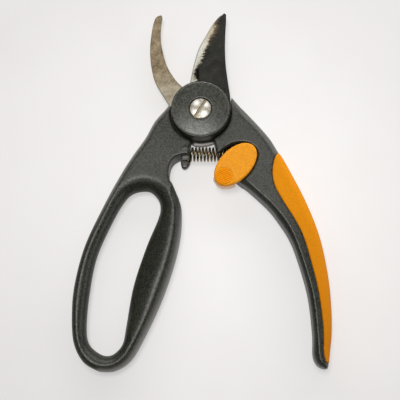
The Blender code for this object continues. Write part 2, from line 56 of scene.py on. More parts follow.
# Camera: nearly overhead, leaning towards the handles
CAMERA_TARGET = (-0.53, -48.14, 8.0)
CAMERA_DISTANCE = 450.0
CAMERA_TILT = 14.0
CAMERA_AZIMUTH = 6.0
CAMERA_LENS = 75.0
SENSOR = 36.0

# Sizes, heights and places shared with the CAD solids
GAP = 0.3
MIDDLE = 7.0
BOTTOM = 0.0
NECK_TOP = 13.8
GRIP_TOP = 14.9
ARC_R = 16.8
HUB_R = 16.4
HUB_BORE_R = 5.3
HUB_SEAT_R = 17.5
HOOK_SEAT_R = 19.0
HUB_LIP_R = 17.8
HUB_LIP_ARC = (256.5, 294.0)
TRENCH_FLOOR = 9.4
CAP_R = 16.1
HOOK_Z = (5.6, 8.3)
BLADE_Z = (8.6, 11.3)
FRONT_CAP_Z = (11.6, 20.0)
REAR_CAP_TOP = 5.3
SCREW_HEAD_R = 5.8
SCREW_RIM = 19.6
SLOT_FLOOR = 18.9
SLOT_WIDTH = 1.6
SLOT_ANGLE = 57.5
LEVER_CENTRE = (18.7, -30.2)
LEVER_AXES = (14.3, 8.5)
LEVER_TURN = 47.0
LEVER_PIN = (23.0, -26.0)
LEVER_TRAVEL = 16.0
LEVER_Z = (13.1, 15.8)
PIN_ROOM_R = 3.1
PIN_ROOM_TOP = 2.0
BLOCK_BOTTOM = 6.2
BLOCK_SPAN = (135, 239)
LUG = (7.9, -35.8)
LUG_R = 1.2
LUG_Z = (1.6, 6.4)
THUMB_PAD = (12.4, -36.9)
THUMB_PAD_R = 4.6
THUMB_PAD_Z = (14.6, 15.84)
THUMB_BED_FLOOR = 15.2
NUB_Z = (1.2, 5.2)
SPRING_START = (-14.2, -22.2, 7.5)
SPRING_END = (16.0, -22.6, 7.5)
SPRING_SEAT = -10.0
SPRING_CUP_TOP = 12.4
SPRING_R = 3.6
SPRING_TURNS = 15
CLOSED_PITCH = 0.45
WIRE_R = 0.48
POCKET_R = 4.35

# Shaping of the surfaces
RIDGE_BLUNT = 3.0
BAND_R = 4.2
GRIP_SWELL = 0.9
BEVEL_DROP = 2.2
TANG_INSET = 0.02
CELL = 0.5
FINE_CELL = 0.32

# Stage, in metres
LIGHT_AIM = (0.0, -0.045, 0.0)
PAPER_CENTRE = (0.01, -0.045, 0.0)
PAPER_SIZE = 3.0
PAPER_DROP = 0.00002
# The paper's glow is painted light: it lightens the shadows cast on the paper, less towards the corners.
PAPER_GLOW = 0.555
CORNER_GLOW = 0.68 * PAPER_GLOW
GLOW_REACH = (0.03, 0.16)
WORLD_STRENGTH = 0.24

LOOP_LEFT = [
    (-17.2, 4.7), (-24.9, -3.9), (-30.2, -13.8), (-36.9, -23.8), (-42.9, -33.8),
    (-53.2, -53.9), (-61.8, -74.1), (-66.5, -94.4), (-67.3, -110.0), (-65.8, -124.5),
    (-60.4, -134.4), (-52.2, -139.1),
]
LOOP_RIGHT = [
    (-52.2, -139.1), (-44.6, -138.8), (-36.8, -134.1), (-30.5, -124.3),
    (-21.1, -104.2), (-14.2, -84.1), (-10.8, -68.0), (-10.4, -55.0), (-11.5, -49.0),
    (-13.4, -44.3), (-15.3, -40.2),
]
LOOP_NOTCH = [
    (-15.3, -40.2), (-16.9, -37.6), (-17.3, -32.5), (-16.0, -27.7), (-12.9, -24.8),
    (-9.4, -23.8), (-6.6, -23.6),
]
LOOP_FACE = [(-6.6, -23.6), (-6.1, -20.0), (-5.5, -16.9)]
LOOP_ARC = (-109.0, -189.6)
FINGER_HOLE = [
    (-31.1, -43.1), (-26.7, -44.0), (-22.9, -48.3), (-21.9, -53.3), (-23.4, -59.5),
    (-29.3, -74.1), (-35.6, -94.4), (-38.9, -114.6), (-40.5, -124.7), (-44.6, -129.7),
    (-48.8, -131.0), (-53.4, -129.4), (-58.2, -124.9), (-59.9, -117.0), (-58.9, -99.3),
    (-55.4, -78.9), (-46.9, -58.6), (-41.1, -48.4), (-36.8, -44.4),
]
LOOP_RIDGE = [
    (-30.0, -36.5), (-22.5, -39.1), (-17.4, -44.4), (-15.1, -49.6), (-14.6, -56.0),
    (-16.1, -67.3), (-19.1, -80.2), (-24.1, -95.0), (-30.8, -115.0), (-36.7, -127.4),
    (-42.1, -135.2), (-49.8, -137.4), (-57.6, -134.0), (-63.2, -125.7), (-65.2, -112.0),
    (-64.4, -98.0), (-61.4, -80.0), (-53.6, -60.0), (-45.2, -45.0), (-40.5, -40.0),
    (-35.5, -37.2),
]
NUB = [
    (-5.9, -20.5), (-5.9, -25.6), (-7.2, -28.3), (-9.1, -29.5), (-10.7, -28.5),
    (-11.1, -26.0), (-10.4, -23.2), (-10.0, -20.5),
]
LOCK_OUTER = [
    (16.8, 8.7), (19.8, 5.7), (24.3, 1.3), (30.3, -5.1), (37.8, -14.4), (42.2, -22.3),
    (45.4, -27.7), (55.4, -48.6), (62.8, -69.1), (66.5, -89.3), (67.6, -106.5),
    (67.3, -119.6), (66.0, -129.7), (65.2, -135.4), (64.4, -138.0),
]
LOCK_FLANK = [
    (64.4, -138.0), (60.9, -136.8), (58.6, -134.0), (57.7, -129.7), (57.9, -119.6),
    (56.0, -99.4), (50.8, -79.2), (46.9, -69.1), (42.0, -61.0), (36.2, -53.1),
    (26.8, -43.9), (21.8, -40.0),
]
LOCK_NOTCH = [(21.8, -40.0), (18.3, -37.2), (14.6, -33.5), (12.0, -29.8), (9.6, -28.3)]
LOCK_FACE = [(9.6, -28.3), (8.9, -23.4), (7.9, -18.0), (7.3, -15.9)]
LOCK_ARC = (-65.0, 9.0)
LOCK_STEP = [
    (20.0, -34.0), (25.9, -40.6), (32.2, -46.8), (38.7, -53.4), (44.1, -60.4), (48.5, -68.7),
    (52.3, -80.0), (55.2, -90.0), (57.6, -100.0), (58.9, -112.0), (59.6, -126.0),
    (60.2, -133.0), (61.8, -136.0), (66.0, -141.0),
]
GRIP_INNER = [
    (42.2, -22.3), (39.6, -27.0), (38.4, -34.5), (39.6, -42.0), (43.5, -50.0),
    (49.6, -60.4), (54.0, -70.0), (58.0, -85.0), (61.0, -100.0), (62.6, -117.0),
    (62.4, -129.0), (63.3, -134.0), (65.2, -135.4),
]
CRESCENT = [
    (6.0, -25.0), (10.4, -22.4), (13.2, -20.0), (16.8, -18.0), (20.4, -17.0),
    (24.0, -17.1), (26.7, -17.9), (29.3, -19.9), (30.4, -22.5), (26.0, -30.0), (8.0, -30.0),
]
NUB_NOTCH = [(2.0, -22.4), (12.8, -22.4), (13.8, -27.0), (13.0, -34.0), (2.0, -34.0)]
BLADE_SPINE = [
    (16.3, -2.0), (16.3, 4.0), (16.3, 9.1), (15.0, 19.1), (13.9, 29.0), (13.6, 39.0),
    (13.9, 48.9), (14.3, 55.0), (14.4, 59.3),
]
BLADE_EDGE = [
    (13.4, 60.9), (12.4, 60.5), (10.4, 59.0), (8.4, 56.6), (6.1, 53.3), (4.0, 49.6), (2.0, 45.8),
    (-0.1, 42.0), (-1.7, 38.2), (-2.8, 34.5), (-4.2, 29.0), (-5.2, 24.0), (-6.0, 19.5), (-6.5, 15.3),
]
BEVEL_TOP = [
    (10.6, 57.0), (9.4, 54.2), (7.7, 51.2), (6.1, 48.0), (4.7, 44.8), (3.4, 41.4), (2.1, 38.0),
    (1.0, 35.0), (-0.2, 32.2), (-1.4, 29.6), (-2.6, 27.2), (-3.7, 25.8), (-4.0, 24.4), (-3.5, 22.2),
    (-2.8, 20.0), (-2.0, 14.5),
]
BLADE_RELIEF_SHADE = [(-4.1, 26.4), (-1.8, 27.6), (-0.9, 23.5), (-1.2, 14.0), (-3.2, 15.0), (-4.2, 23.0)]
BLADE_TANG = [
    (-12.0, -3.5), (-17.0, -6.5), (-23.0, -11.5), (-29.5, -21.5), (-34.5, -31.0),
    (-32.0, -37.0), (-25.0, -34.0), (-20.5, -26.0), (-17.0, -18.5), (-11.5, -12.5), (-7.0, -9.5),
]
HOOK_OUTER = [
    (-23.0, 60.9), (-25.6, 59.6), (-27.0, 55.9), (-28.0, 50.3), (-28.8, 40.3),
    (-28.1, 30.3), (-25.7, 20.3), (-20.1, 10.3), (-17.2, 5.3), (-16.5, 2.6), (-16.4, -1.0),
]
HOOK_INNER = [
    (-7.5, 15.0), (-10.2, 17.0), (-13.5, 20.3), (-16.9, 25.3), (-19.4, 30.3),
    (-20.8, 35.3), (-22.0, 40.3), (-22.8, 45.3), (-23.0, 50.3), (-22.7, 55.3), (-22.1, 59.6),
    (-22.2, 60.4),
]
BARE_LIP = [(-4.6, -10.0), (-4.6, -30.0), (8.2, -30.0), (8.2, -10.0)]
HOOK_DENT = [(-24.6, 31.2), (-24.2, 29.4), (-22.9, 28.4), (-21.3, 28.3)]
HOOK_TANG = [
    (8.5, -9.0), (12.0, -12.0), (20.5, -13.0), (26.5, -14.2), (30.8, -17.6), (33.4, -22.6),
    (36.6, -24.4), (36.0, -20.0), (31.0, -12.2), (24.5, -5.5), (17.0, -1.5), (12.5, -1.5),
]


# Curves and outlines

def curve_through(points, step, closed=False):
    """Catmull-Rom curve through the points, read about every step."""
    last = len(points) - 1
    spans = len(points) if closed else last

    def at(index):
        if closed:
            return np.array(points[index % len(points)])
        return np.array(points[max(0, min(last, index))])

    found = []
    for span in range(spans):
        a, b, c, d = (at(span + shift) for shift in (-1, 0, 1, 2))
        count = max(1, ceil(hypot(*(c - b)) / step))
        for part in range(count):
            t = part / count
            point = 0.5 * (2 * b + (c - a) * t + (2 * a - 5 * b + 4 * c - d) * t * t
                           + (3 * b - a - 3 * c + d) * t ** 3)
            found.append(tuple(point))
    if not closed:
        found.append(tuple(points[-1]))
    return found


def arc(radius, first, last, count):
    """An arc about the pivot's axis."""
    angles = [radians(first + (last - first) * i / count) for i in range(count + 1)]
    return [(radius * cos(a), radius * sin(a)) for a in angles]


def oval(centre, axes, turn, count):
    c, s = cos(radians(turn)), sin(radians(turn))
    found = []
    for i in range(count):
        u, v = axes[0] * cos(2 * pi * i / count), axes[1] * sin(2 * pi * i / count)
        found.append((centre[0] + u * c - v * s, centre[1] + u * s + v * c))
    return found


def turned_about(points, centre, degrees):
    c, s = cos(radians(degrees)), sin(radians(degrees))
    return [(centre[0] + (x - centre[0]) * c - (y - centre[1]) * s,
             centre[1] + (x - centre[0]) * s + (y - centre[1]) * c) for x, y in points]


def chained(*runs):
    """One run from several, without the repeated ends."""
    found = []
    for run in runs:
        for point in run:
            if not found or hypot(point[0] - found[-1][0], point[1] - found[-1][1]) > 0.02:
                found.append(point)
    return found


def joined(*runs):
    loop = chained(*runs)
    if hypot(loop[0][0] - loop[-1][0], loop[0][1] - loop[-1][1]) < 0.02:
        loop.pop()
    return loop


def distance(x, y, run):
    """Shortest distance from each point to a run of points joined by lines."""
    best = np.full(np.shape(x), 1e9)
    for (ax, ay), (bx, by) in zip(run, run[1:]):
        dx, dy = bx - ax, by - ay
        t = np.clip(((x - ax) * dx + (y - ay) * dy) / (dx * dx + dy * dy + 1e-12), 0, 1)
        best = np.minimum(best, np.hypot(x - ax - t * dx, y - ay - t * dy))
    return best


def inside(x, y, loop):
    odd = np.zeros(np.shape(x), bool)
    for (ax, ay), (bx, by) in zip(loop, loop[1:] + loop[:1]):
        if ay != by:
            crosses = (ay > y) != (by > y)
            odd ^= crosses & (x < ax + (y - ay) * (bx - ax) / (by - ay))
    return odd


def depth(x, y, loop):
    """Signed distance to a loop, positive inside it."""
    away = distance(x, y, loop + loop[:1])
    return np.where(inside(x, y, loop), away, -away)


def nearest(run, point):
    return min(range(len(run)), key=lambda i: hypot(run[i][0] - point[0], run[i][1] - point[1]))


def smooth(value, first, last):
    t = np.clip((value - first) / (last - first), 0, 1)
    return t * t * (3 - 2 * t)


# Solid fields: negative inside, in millimetres

class Grid:
    """A block of cells round a part."""

    def __init__(self, low, high, cell):
        self.low, self.cell = np.array(low, float), cell
        axes = [np.arange(a, b + cell, cell) for a, b in zip(low, high)]
        self.x, self.y = np.meshgrid(axes[0], axes[1], indexing="ij")
        self.z = axes[2][None, None, :]

    def lift(self, flat):
        return flat[:, :, None]


def eased(across, over, radius):
    """Rounds the corner where two faces meet."""
    corner = np.sqrt(np.maximum(across, 0) ** 2 + np.maximum(over, 0) ** 2)
    return corner + np.minimum(np.maximum(across, over), 0) - radius


def plate_field(grid, edge, radius, top, bottom):
    """An upright-sided plate with rounded edges: edge is the depth inside its outline."""
    z = grid.z
    above = z >= MIDDLE
    half = np.where(above, grid.lift(top) - MIDDLE, MIDDLE - grid.lift(bottom))
    radius = np.minimum(grid.lift(radius), half)
    return eased(radius - grid.lift(edge), np.abs(z - MIDDLE) - (half - radius), radius)


def slab_field(grid, edge, low, high):
    """A prism: edge is the depth inside its outline."""
    tall = np.maximum(low - grid.z, grid.z - high)
    return np.maximum(-grid.lift(edge), tall)


def rod_field(grid, start, end, radius):
    start, end = np.array(start), np.array(end)
    length = np.linalg.norm(end - start)
    ahead = (end - start) / length
    px, py, pz = grid.lift(grid.x) - start[0], grid.lift(grid.y) - start[1], grid.z - start[2]
    along = px * ahead[0] + py * ahead[1] + pz * ahead[2]
    off = np.sqrt(np.maximum(px ** 2 + py ** 2 + pz ** 2 - along ** 2, 0))
    return np.maximum(off - radius, np.maximum(-along, along - length))


def soft_union(a, b, width):
    t = np.clip(0.5 + 0.5 * (b - a) / width, 0, 1)
    return b * (1 - t) + a * t - width * t * (1 - t)


def soft_cut(solid, cutter, width):
    return -soft_union(-solid, cutter, width)


def surface(grid, field):
    """Surface of a field as quads, with one vertex in each cell that it crosses."""
    full = field < 0
    corners = [(i, j, k) for i in (0, 1) for j in (0, 1) for k in (0, 1)]
    nx, ny, nz = (n - 1 for n in field.shape)

    def part(array, corner):
        i, j, k = corner
        return array[i:i + nx, j:j + ny, k:k + nz]

    count = sum(part(full, c).astype(np.int8) for c in corners)
    crossed = (count > 0) & (count < 8)
    index = np.full(crossed.shape, -1)
    index[crossed] = np.arange(crossed.sum())
    total, hits = np.zeros((crossed.sum(), 3)), np.zeros(crossed.sum())
    for a in corners:
        for axis in range(3):
            if a[axis]:
                continue
            b = tuple(1 if n == axis else a[n] for n in range(3))
            va, vb = part(field, a)[crossed], part(field, b)[crossed]
            cut = (va < 0) != (vb < 0)
            t = np.where(cut, va / np.where(cut, va - vb, 1), 0)
            for n in range(3):
                total[:, n] += np.where(cut, a[n] + (t if n == axis else 0), 0)
            hits += cut
    verts = (np.argwhere(crossed) + total / hits[:, None]) * grid.cell + grid.low
    quads = []
    for axis in range(3):
        u, v = (axis + 1) % 3, (axis + 2) % 3
        before = [slice(1, n) for n in crossed.shape]
        before[axis] = slice(0, crossed.shape[axis])
        start = [slice(1, n) for n in crossed.shape]
        start[axis] = slice(0, crossed.shape[axis])
        end = list(start)
        end[axis] = slice(1, crossed.shape[axis] + 1)
        a, b = full[tuple(start)], full[tuple(end)]
        flips = a != b
        where = np.argwhere(flips)
        base = where + np.array([0 if n == axis else 1 for n in range(3)])

        def cell(du, dv):
            at = base.copy()
            at[:, u] -= du
            at[:, v] -= dv
            return index[at[:, 0], at[:, 1], at[:, 2]]

        ring = np.stack([cell(1, 1), cell(0, 1), cell(0, 0), cell(1, 0)], 1)
        leaving = a[flips]
        ring[~leaving] = ring[~leaving][:, ::-1]
        quads.append(ring)
    return verts, np.concatenate(quads)


# Meshes

def new_object(name, verts, faces, finish, body, replaces=(), sharp=None):
    mesh = bpy.data.meshes.new(name)
    faces = [tuple(face) for face in np.asarray(faces, dtype=object)]
    mesh.from_pydata((np.asarray(verts) * MM).tolist(), [], faces)
    mesh.validate()
    mesh.shade_smooth()
    if sharp:
        mesh.set_sharp_from_angle(angle=radians(sharp))
    mesh.materials.append(finish)
    obj = bpy.data.objects.new(name, mesh)
    bpy.context.scene.collection.objects.link(obj)
    if body:
        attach(obj, body)
    if replaces:
        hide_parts(*replaces)
    return obj


def turned(profile, segments, hollow):
    """Solid of revolution about the pivot's axis. The profile runs up its outer side."""
    verts, rings = [], []
    for radius, z in profile:
        if radius == 0:
            rings.append([len(verts)] * segments)
            verts.append((0, 0, z))
            continue
        rings.append([len(verts) + i for i in range(segments)])
        for i in range(segments):
            a = 2 * pi * i / segments
            verts.append((radius * cos(a), radius * sin(a), z))
    pairs = list(zip(rings, rings[1:]))
    if hollow:
        pairs.append((rings[-1], rings[0]))
    faces = []
    for lower, upper in pairs:
        for i in range(segments):
            j = (i + 1) % segments
            faces.append(tuple(dict.fromkeys((lower[i], lower[j], upper[j], upper[i]))))
    return verts, faces


def sheet_metal(loops, top, bottom, chamfer, spacing):
    """A flat part: top(x, y) and bottom(x, y) give its faces, and its edges are eased."""
    points, edges = [], []
    for loop in loops:
        start = len(points)
        points += loop
        edges += [(start + i, start + (i + 1) % len(loop)) for i in range(len(loop))]
    outline = np.array(loops[0])
    low, high = outline.min(0), outline.max(0)
    xs, ys = np.meshgrid(np.arange(low[0], high[0], spacing), np.arange(low[1], high[1], spacing))
    xs = (xs + (np.arange(xs.shape[0]) % 2)[:, None] * spacing / 2).ravel()
    ys = ys.ravel()
    clear = np.min([np.abs(depth(xs, ys, loop)) for loop in loops], 0)
    solid = inside(xs, ys, loops[0])
    for hole in loops[1:]:
        solid &= ~inside(xs, ys, hole)
    keep = solid & (clear > 0.7 * spacing)
    points += list(zip(xs[keep], ys[keep]))
    flat, _, triangles, *_ = delaunay_2d_cdt([Vector(p) for p in points], edges, [], 0, 1e-5)
    flat = np.array([tuple(p) for p in flat])
    tri = np.array(triangles)
    middle = flat[tri].mean(1)
    kept = inside(middle[:, 0], middle[:, 1], loops[0])
    for hole in loops[1:]:
        kept &= ~inside(middle[:, 0], middle[:, 1], hole)
    tri = tri[kept]
    a, b, c = flat[tri[:, 0]], flat[tri[:, 1]], flat[tri[:, 2]]
    turn = (b[:, 0] - a[:, 0]) * (c[:, 1] - a[:, 1]) - (b[:, 1] - a[:, 1]) * (c[:, 0] - a[:, 0])
    tri[turn < 0] = tri[turn < 0][:, ::-1]
    x, y = flat[:, 0], flat[:, 1]
    z_top, z_bottom = top(x, y), bottom(x, y)
    sides = {(int(t[i]), int(t[(i + 1) % 3])) for t in tri for i in range(3)}
    rim = [side for side in sides if (side[1], side[0]) not in sides]
    push = np.zeros_like(flat)
    for i, j in rim:
        ahead = flat[j] - flat[i]
        normal = np.array([ahead[1], -ahead[0]]) / (np.hypot(*ahead) + 1e-9)
        push[i] += normal
        push[j] += normal
    size = np.hypot(push[:, 0], push[:, 1])
    push /= np.maximum(size, 1e-9)[:, None]
    on_rim = size > 1e-6
    face_xy = np.where(on_rim[:, None], flat - push * chamfer, flat)
    thick = np.minimum(chamfer, 0.45 * (z_top - z_bottom))
    count = len(flat)
    layers = [
        np.c_[face_xy, z_bottom], np.c_[flat, z_bottom + thick],
        np.c_[flat, z_top - thick], np.c_[face_xy, z_top],
    ]
    faces = [tuple(t[::-1]) for t in tri] + [tuple(t + 3 * count) for t in tri]
    for i, j in rim:
        for layer in range(3):
            base = layer * count
            faces.append((i + base, j + base, j + base + count, i + base + count))
    return tidy(np.concatenate(layers), faces)


def level(z):
    """A flat face at one height, for sheet_metal."""
    def height(x, y):
        return np.full(np.shape(x + y), z)
    return height


def tidy(verts, faces):
    """Drops the vertices that no face uses."""
    used = sorted({i for face in faces for i in face})
    place = {old: new for new, old in enumerate(used)}
    return verts[used], [tuple(place[i] for i in face) for face in faces]


def add_values(obj, name, values):
    attribute = obj.data.attributes.new(name, "FLOAT", "POINT")
    attribute.data.foreach_set("value", np.asarray(values, np.float32))


# Materials

class Nodes:
    """Short calls for a material's node tree."""

    def __init__(self, name, roughness, metallic=0.0, specular=0.5):
        self.material = bpy.data.materials.new(name)
        self.material.use_nodes = True
        self.tree = self.material.node_tree
        self.shader = self.tree.nodes["Principled BSDF"]
        self.fill(self.shader, {"Roughness": roughness, "Metallic": metallic, "Specular IOR Level": specular})
        self.place = self.add("ShaderNodeTexCoord", {}).outputs["Object"]

    def fill(self, node, inputs):
        """Sets or links a node's inputs. Colours are given without their alpha."""
        for key, value in inputs.items():
            socket = node.inputs[key]
            if isinstance(value, bpy.types.NodeSocket):
                self.tree.links.new(value, socket)
            elif socket.type == "RGBA":
                socket.default_value = (*value, 1)
            else:
                socket.default_value = value

    def add(self, kind, inputs, **settings):
        node = self.tree.nodes.new(kind)
        for key, value in settings.items():
            setattr(node, key, value)
        self.fill(node, inputs)
        return node

    def stretched(self, scale, turn):
        inputs = {"Vector": self.place, "Scale": scale, "Rotation": (0, 0, radians(turn))}
        return self.add("ShaderNodeMapping", inputs).outputs["Vector"]

    def noise(self, per_mm, detail=4.0, rough=0.55, vector=None):
        inputs = {"Vector": vector or self.place, "Scale": per_mm / MM, "Detail": detail, "Roughness": rough}
        return self.add("ShaderNodeTexNoise", inputs).outputs["Fac"]

    def cells(self, per_mm):
        """A random value in each cell of a fine grain."""
        cells = self.add("ShaderNodeTexVoronoi", {"Vector": self.place, "Scale": per_mm / MM})
        return self.add("ShaderNodeSeparateColor", {0: cells.outputs["Color"]}).outputs[0]

    def ramp(self, value, *stops):
        node = self.add("ShaderNodeValToRGB", {"Fac": value})
        elements = node.color_ramp.elements
        while len(elements) < len(stops):
            elements.new(0.5)
        for element, (at, colour) in zip(elements, stops):
            element.position = at
            element.color = (*colour, 1)
        return node.outputs["Color"]

    def mix(self, amount, a, b):
        return self.add("ShaderNodeMix", {0: amount, 6: a, 7: b}, data_type="RGBA").outputs[2]

    def math(self, operation, a, b):
        return self.add("ShaderNodeMath", {0: a, 1: b}, operation=operation).outputs[0]

    def between(self, value, low, high, a, b):
        inputs = {"Value": value, "From Min": low, "From Max": high, "To Min": a, "To Max": b}
        return self.add("ShaderNodeMapRange", inputs, clamp=True).outputs["Result"]

    def along(self, axis):
        return self.add("ShaderNodeSeparateXYZ", {0: self.place}).outputs[axis]

    def values(self, name):
        return self.add("ShaderNodeAttribute", {}, attribute_name=name).outputs["Fac"]

    def bump(self, height, strength, reach, after=None):
        inputs = {"Height": height, "Strength": strength, "Distance": reach * MM}
        if after:
            inputs["Normal"] = after
        return self.add("ShaderNodeBump", inputs).outputs["Normal"]

    def finish(self, colour, roughness=None, normal=None, metallic=None):
        given = {"Base Color": colour, "Roughness": roughness, "Normal": normal, "Metallic": metallic}
        self.fill(self.shader, {key: value for key, value in given.items() if value is not None})
        return self.material


def speckled_plastic(name, dark, light, roughness, grain=2.4, strength=0.22, specular=0.5,
                     side=None, painted_sheen=None, darkening_along_y=None):
    """Moulded plastic with a spark-eroded grain and faint mottling.

    side is (height, colour): below that height the colour is a painted lighter tone for the light on the side
    walls.
    worn is the colour of a painted sheen where the values "worn" are high, and soiled is (end, start,
    colour), a darkening along Y.
    """
    n = Nodes(name, roughness, specular=specular)
    speck = n.cells(grain)
    broad = n.noise(0.09, 3.0)
    tone = n.math("ADD", n.math("MULTIPLY", speck, 0.75), n.math("MULTIPLY", broad, 0.25))
    colour = n.ramp(tone, (0.3, dark), (0.85, light))
    # A painted sheen: lighter where the sheen values are high.
    if painted_sheen:
        colour = n.mix(n.values("painted_sheen"), colour, painted_sheen)
    # Darker along Y, from the given start to the given end.
    if darkening_along_y:
        darkening = n.between(n.along("Y"), darkening_along_y[0] * MM, darkening_along_y[1] * MM, 1.0, 0.0)
        colour = n.mix(darkening, colour, darkening_along_y[2])
    # Painted light: below the given height the colour turns paler, a lighter tone standing in for the light
    # on the side walls.
    if side:
        low = n.between(n.along("Z"), (side[0] - 0.5) * MM, side[0] * MM, 1.0, 0.0)
        colour = n.mix(low, colour, side[1])
    rough = n.between(speck, 0.0, 1.0, roughness - 0.06, roughness + 0.06)
    shine = n.between(n.cells(grain * 0.9), 0.0, 1.0, 0.6 * specular, 1.4 * specular)
    n.fill(n.shader, {"Specular IOR Level": shine})
    normal = n.bump(n.noise(grain * 1.4, 1.0), strength, 0.06)
    return n.finish(colour, rough, normal)


def hook_finish():
    """Weathered tan steel: blotches, fine speckle and faint grinding lines."""
    n = Nodes("tan_steel_finish", 0.5, 0.3)
    blotch = n.noise(0.22, 5.0, 0.66)
    speck = n.noise(1.1, 4.0, 0.75)
    lines = n.noise(0.5, 3.0, 0.6, n.stretched((1.0, 9.0, 1.0), 25.0))
    tone = n.math("ADD", n.math("MULTIPLY", blotch, 0.55), n.math("MULTIPLY", speck, 0.45))
    colour = n.ramp(tone, (0.39, (0.085, 0.056, 0.024)), (0.5, (0.19, 0.143, 0.076)),
                    (0.63, (0.31, 0.25, 0.155)))
    pale = n.ramp(tone, (0.38, (0.20, 0.17, 0.115)), (0.62, (0.46, 0.42, 0.33)))
    # Paler and greyer towards the pivot.
    colour = n.mix(n.math("MULTIPLY", n.values("paler_near_pivot"), 0.8), colour, pale)
    colour = n.mix(n.values("clean"), colour, (0.36, 0.34, 0.33))
    # Painted shade: the hub under the cap and the tang inside the handle are painted near black.
    colour = n.mix(n.values("painted_shade"), colour, (0.010, 0.009, 0.007))
    rough = n.between(speck, 0.3, 0.7, 0.4, 0.62)
    normal = n.bump(speck, 0.25, 0.05, n.bump(lines, 0.15, 0.04))
    return n.finish(colour, rough, normal)


def plated_finish():
    n = Nodes("zinc_steel_finish", 0.36, 1.0)
    fine = n.noise(2.2, 3.0)
    tint = n.mix(n.between(n.noise(0.5), 0.35, 0.65, 0.0, 1.0), (0.56, 0.56, 0.55), (0.437, 0.437, 0.429))
    rough = n.between(fine, 0.3, 0.7, 0.30, 0.46)
    return n.finish(tint, rough, n.bump(fine, 0.12, 0.03))


def screw_finish():
    """Bright steel, dulled by handling, with four lobes of painted highlight, and painted shade with dirt in
    the slot.
    """
    n = Nodes("bright_steel_finish", 0.42, 0.35)
    stain = n.noise(0.8, 3.0, 0.6)
    dull = n.ramp(stain, (0.38, (0.19, 0.165, 0.12)), (0.62, (0.40, 0.365, 0.29)))
    # Painted highlight: four near-white lobes on the dome, where the shine values are high.
    clean = n.mix(n.values("shine"), dull, (0.92, 0.90, 0.86))
    # Painted shade with dirt: darker below the rim, down in the slot.
    darkening = n.between(n.along("Z"), (SLOT_FLOOR + 0.1) * MM, (SCREW_RIM - 0.05) * MM, 1.0, 0.0)
    colour = n.mix(darkening, clean, (0.27, 0.22, 0.155))
    return n.finish(colour, None, n.bump(n.noise(2.2, 3.0), 0.12, 0.03))


def coated_blade_finish():
    """Dark low-friction coating, worn through to ground steel along the cutting bevel."""
    n = Nodes("coated_blade_finish", 0.42)
    fine = n.noise(2.6, 3.0, 0.6)
    broad = n.noise(0.2, 4.0, 0.6)
    coat = n.ramp(n.math("ADD", n.math("MULTIPLY", fine, 0.5), n.math("MULTIPLY", broad, 0.5)),
                  (0.36, (0.003, 0.003, 0.002)), (0.66, (0.026, 0.026, 0.020)))
    stain = n.between(n.noise(0.42, 4.0, 0.65), 0.56, 0.72, 0.0, 0.55)
    coat = n.mix(stain, coat, (0.055, 0.040, 0.022))
    ragged = n.noise(1.1, 3.0, 0.8, n.stretched((0.3, 2.2, 1.0), 24.0))
    reach = n.math("ADD", n.values("from_edge"), n.between(ragged, 0.3, 0.7, -0.85, 0.65))
    scuffed = n.math("MULTIPLY", n.values("tarnish"), n.between(reach, 0.9, 2.2, 1.0, 0.0))
    coat = n.mix(scuffed, coat, (0.17, 0.12, 0.065))
    bare = n.between(reach, 0.86, 1.08, 1.0, 0.0)
    brown = n.between(reach, 0.50, 0.94, 0.0, 0.85)
    # Painted shade: the hollow of the grinding relief is painted near black and reflects almost nothing.
    relief_painted_shade = n.values("relief_painted_shade")
    lines = n.noise(0.8, 3.0, 0.7, n.stretched((0.35, 5.0, 1.0), -24.0))
    steel = n.ramp(lines, (0.3, (0.52, 0.52, 0.46)), (0.6, (0.72, 0.71, 0.64)))
    steel = n.mix(brown, steel, (0.42, 0.34, 0.22))
    steel = n.mix(n.values("tarnish"), steel, (0.46, 0.38, 0.26))
    steel = n.mix(n.values("rim"), steel, (0.30, 0.31, 0.26))
    colour = n.mix(bare, n.mix(relief_painted_shade, coat, (0.004, 0.004, 0.004)), steel)
    rough = n.between(bare, 0.0, 1.0, 0.46, 0.36)
    metallic = n.between(bare, 0.0, 1.0, 0.0, 0.25)
    n.fill(n.shader, {"Specular IOR Level": n.between(relief_painted_shade, 0.0, 1.0, 0.15, 0.01)})
    normal = n.bump(fine, 0.2, 0.05, n.bump(lines, 0.2, 0.05))
    return n.finish(colour, rough, normal, metallic)


def spring_finish():
    n = Nodes("spring_finish", 0.3, 1.0)
    tone = n.noise(0.9, 4.0, 0.6)
    colour = n.ramp(tone, (0.35, (0.05, 0.036, 0.016)), (0.65, (0.42, 0.33, 0.17)))
    return n.finish(colour, n.between(tone, 0.3, 0.7, 0.22, 0.4), n.bump(n.noise(4.0), 0.15, 0.03))


# The handles' nylon, with a painted sheen where its sheen values are high.
NYLON_WITH_PAINTED_SHEEN = speckled_plastic("nylon_painted_sheen_finish", (0.0, 0.0, 0.0), (0.023, 0.026, 0.011), 0.42, specular=0.42,
                          painted_sheen=(0.20, 0.195, 0.18))
CAP = speckled_plastic("cap_nylon_finish", (0.0, 0.0, 0.0), (0.036, 0.041, 0.019), 0.38, specular=0.60)
# The orange turns paler below the lever's plate: painted light on its side walls.
ORANGE = speckled_plastic("orange_nylon_finish", (0.67, 0.245, 0.002), (0.76, 0.30, 0.008), 0.5,
                          1.4, 0.15, 0.15, side=(LEVER_Z[0], (0.98, 0.68, 0.48)))
PAD = speckled_plastic("orange_pad_finish", (0.71, 0.235, 0.0), (0.79, 0.28, 0.0), 0.6, 1.4, 0.2, 0.12)
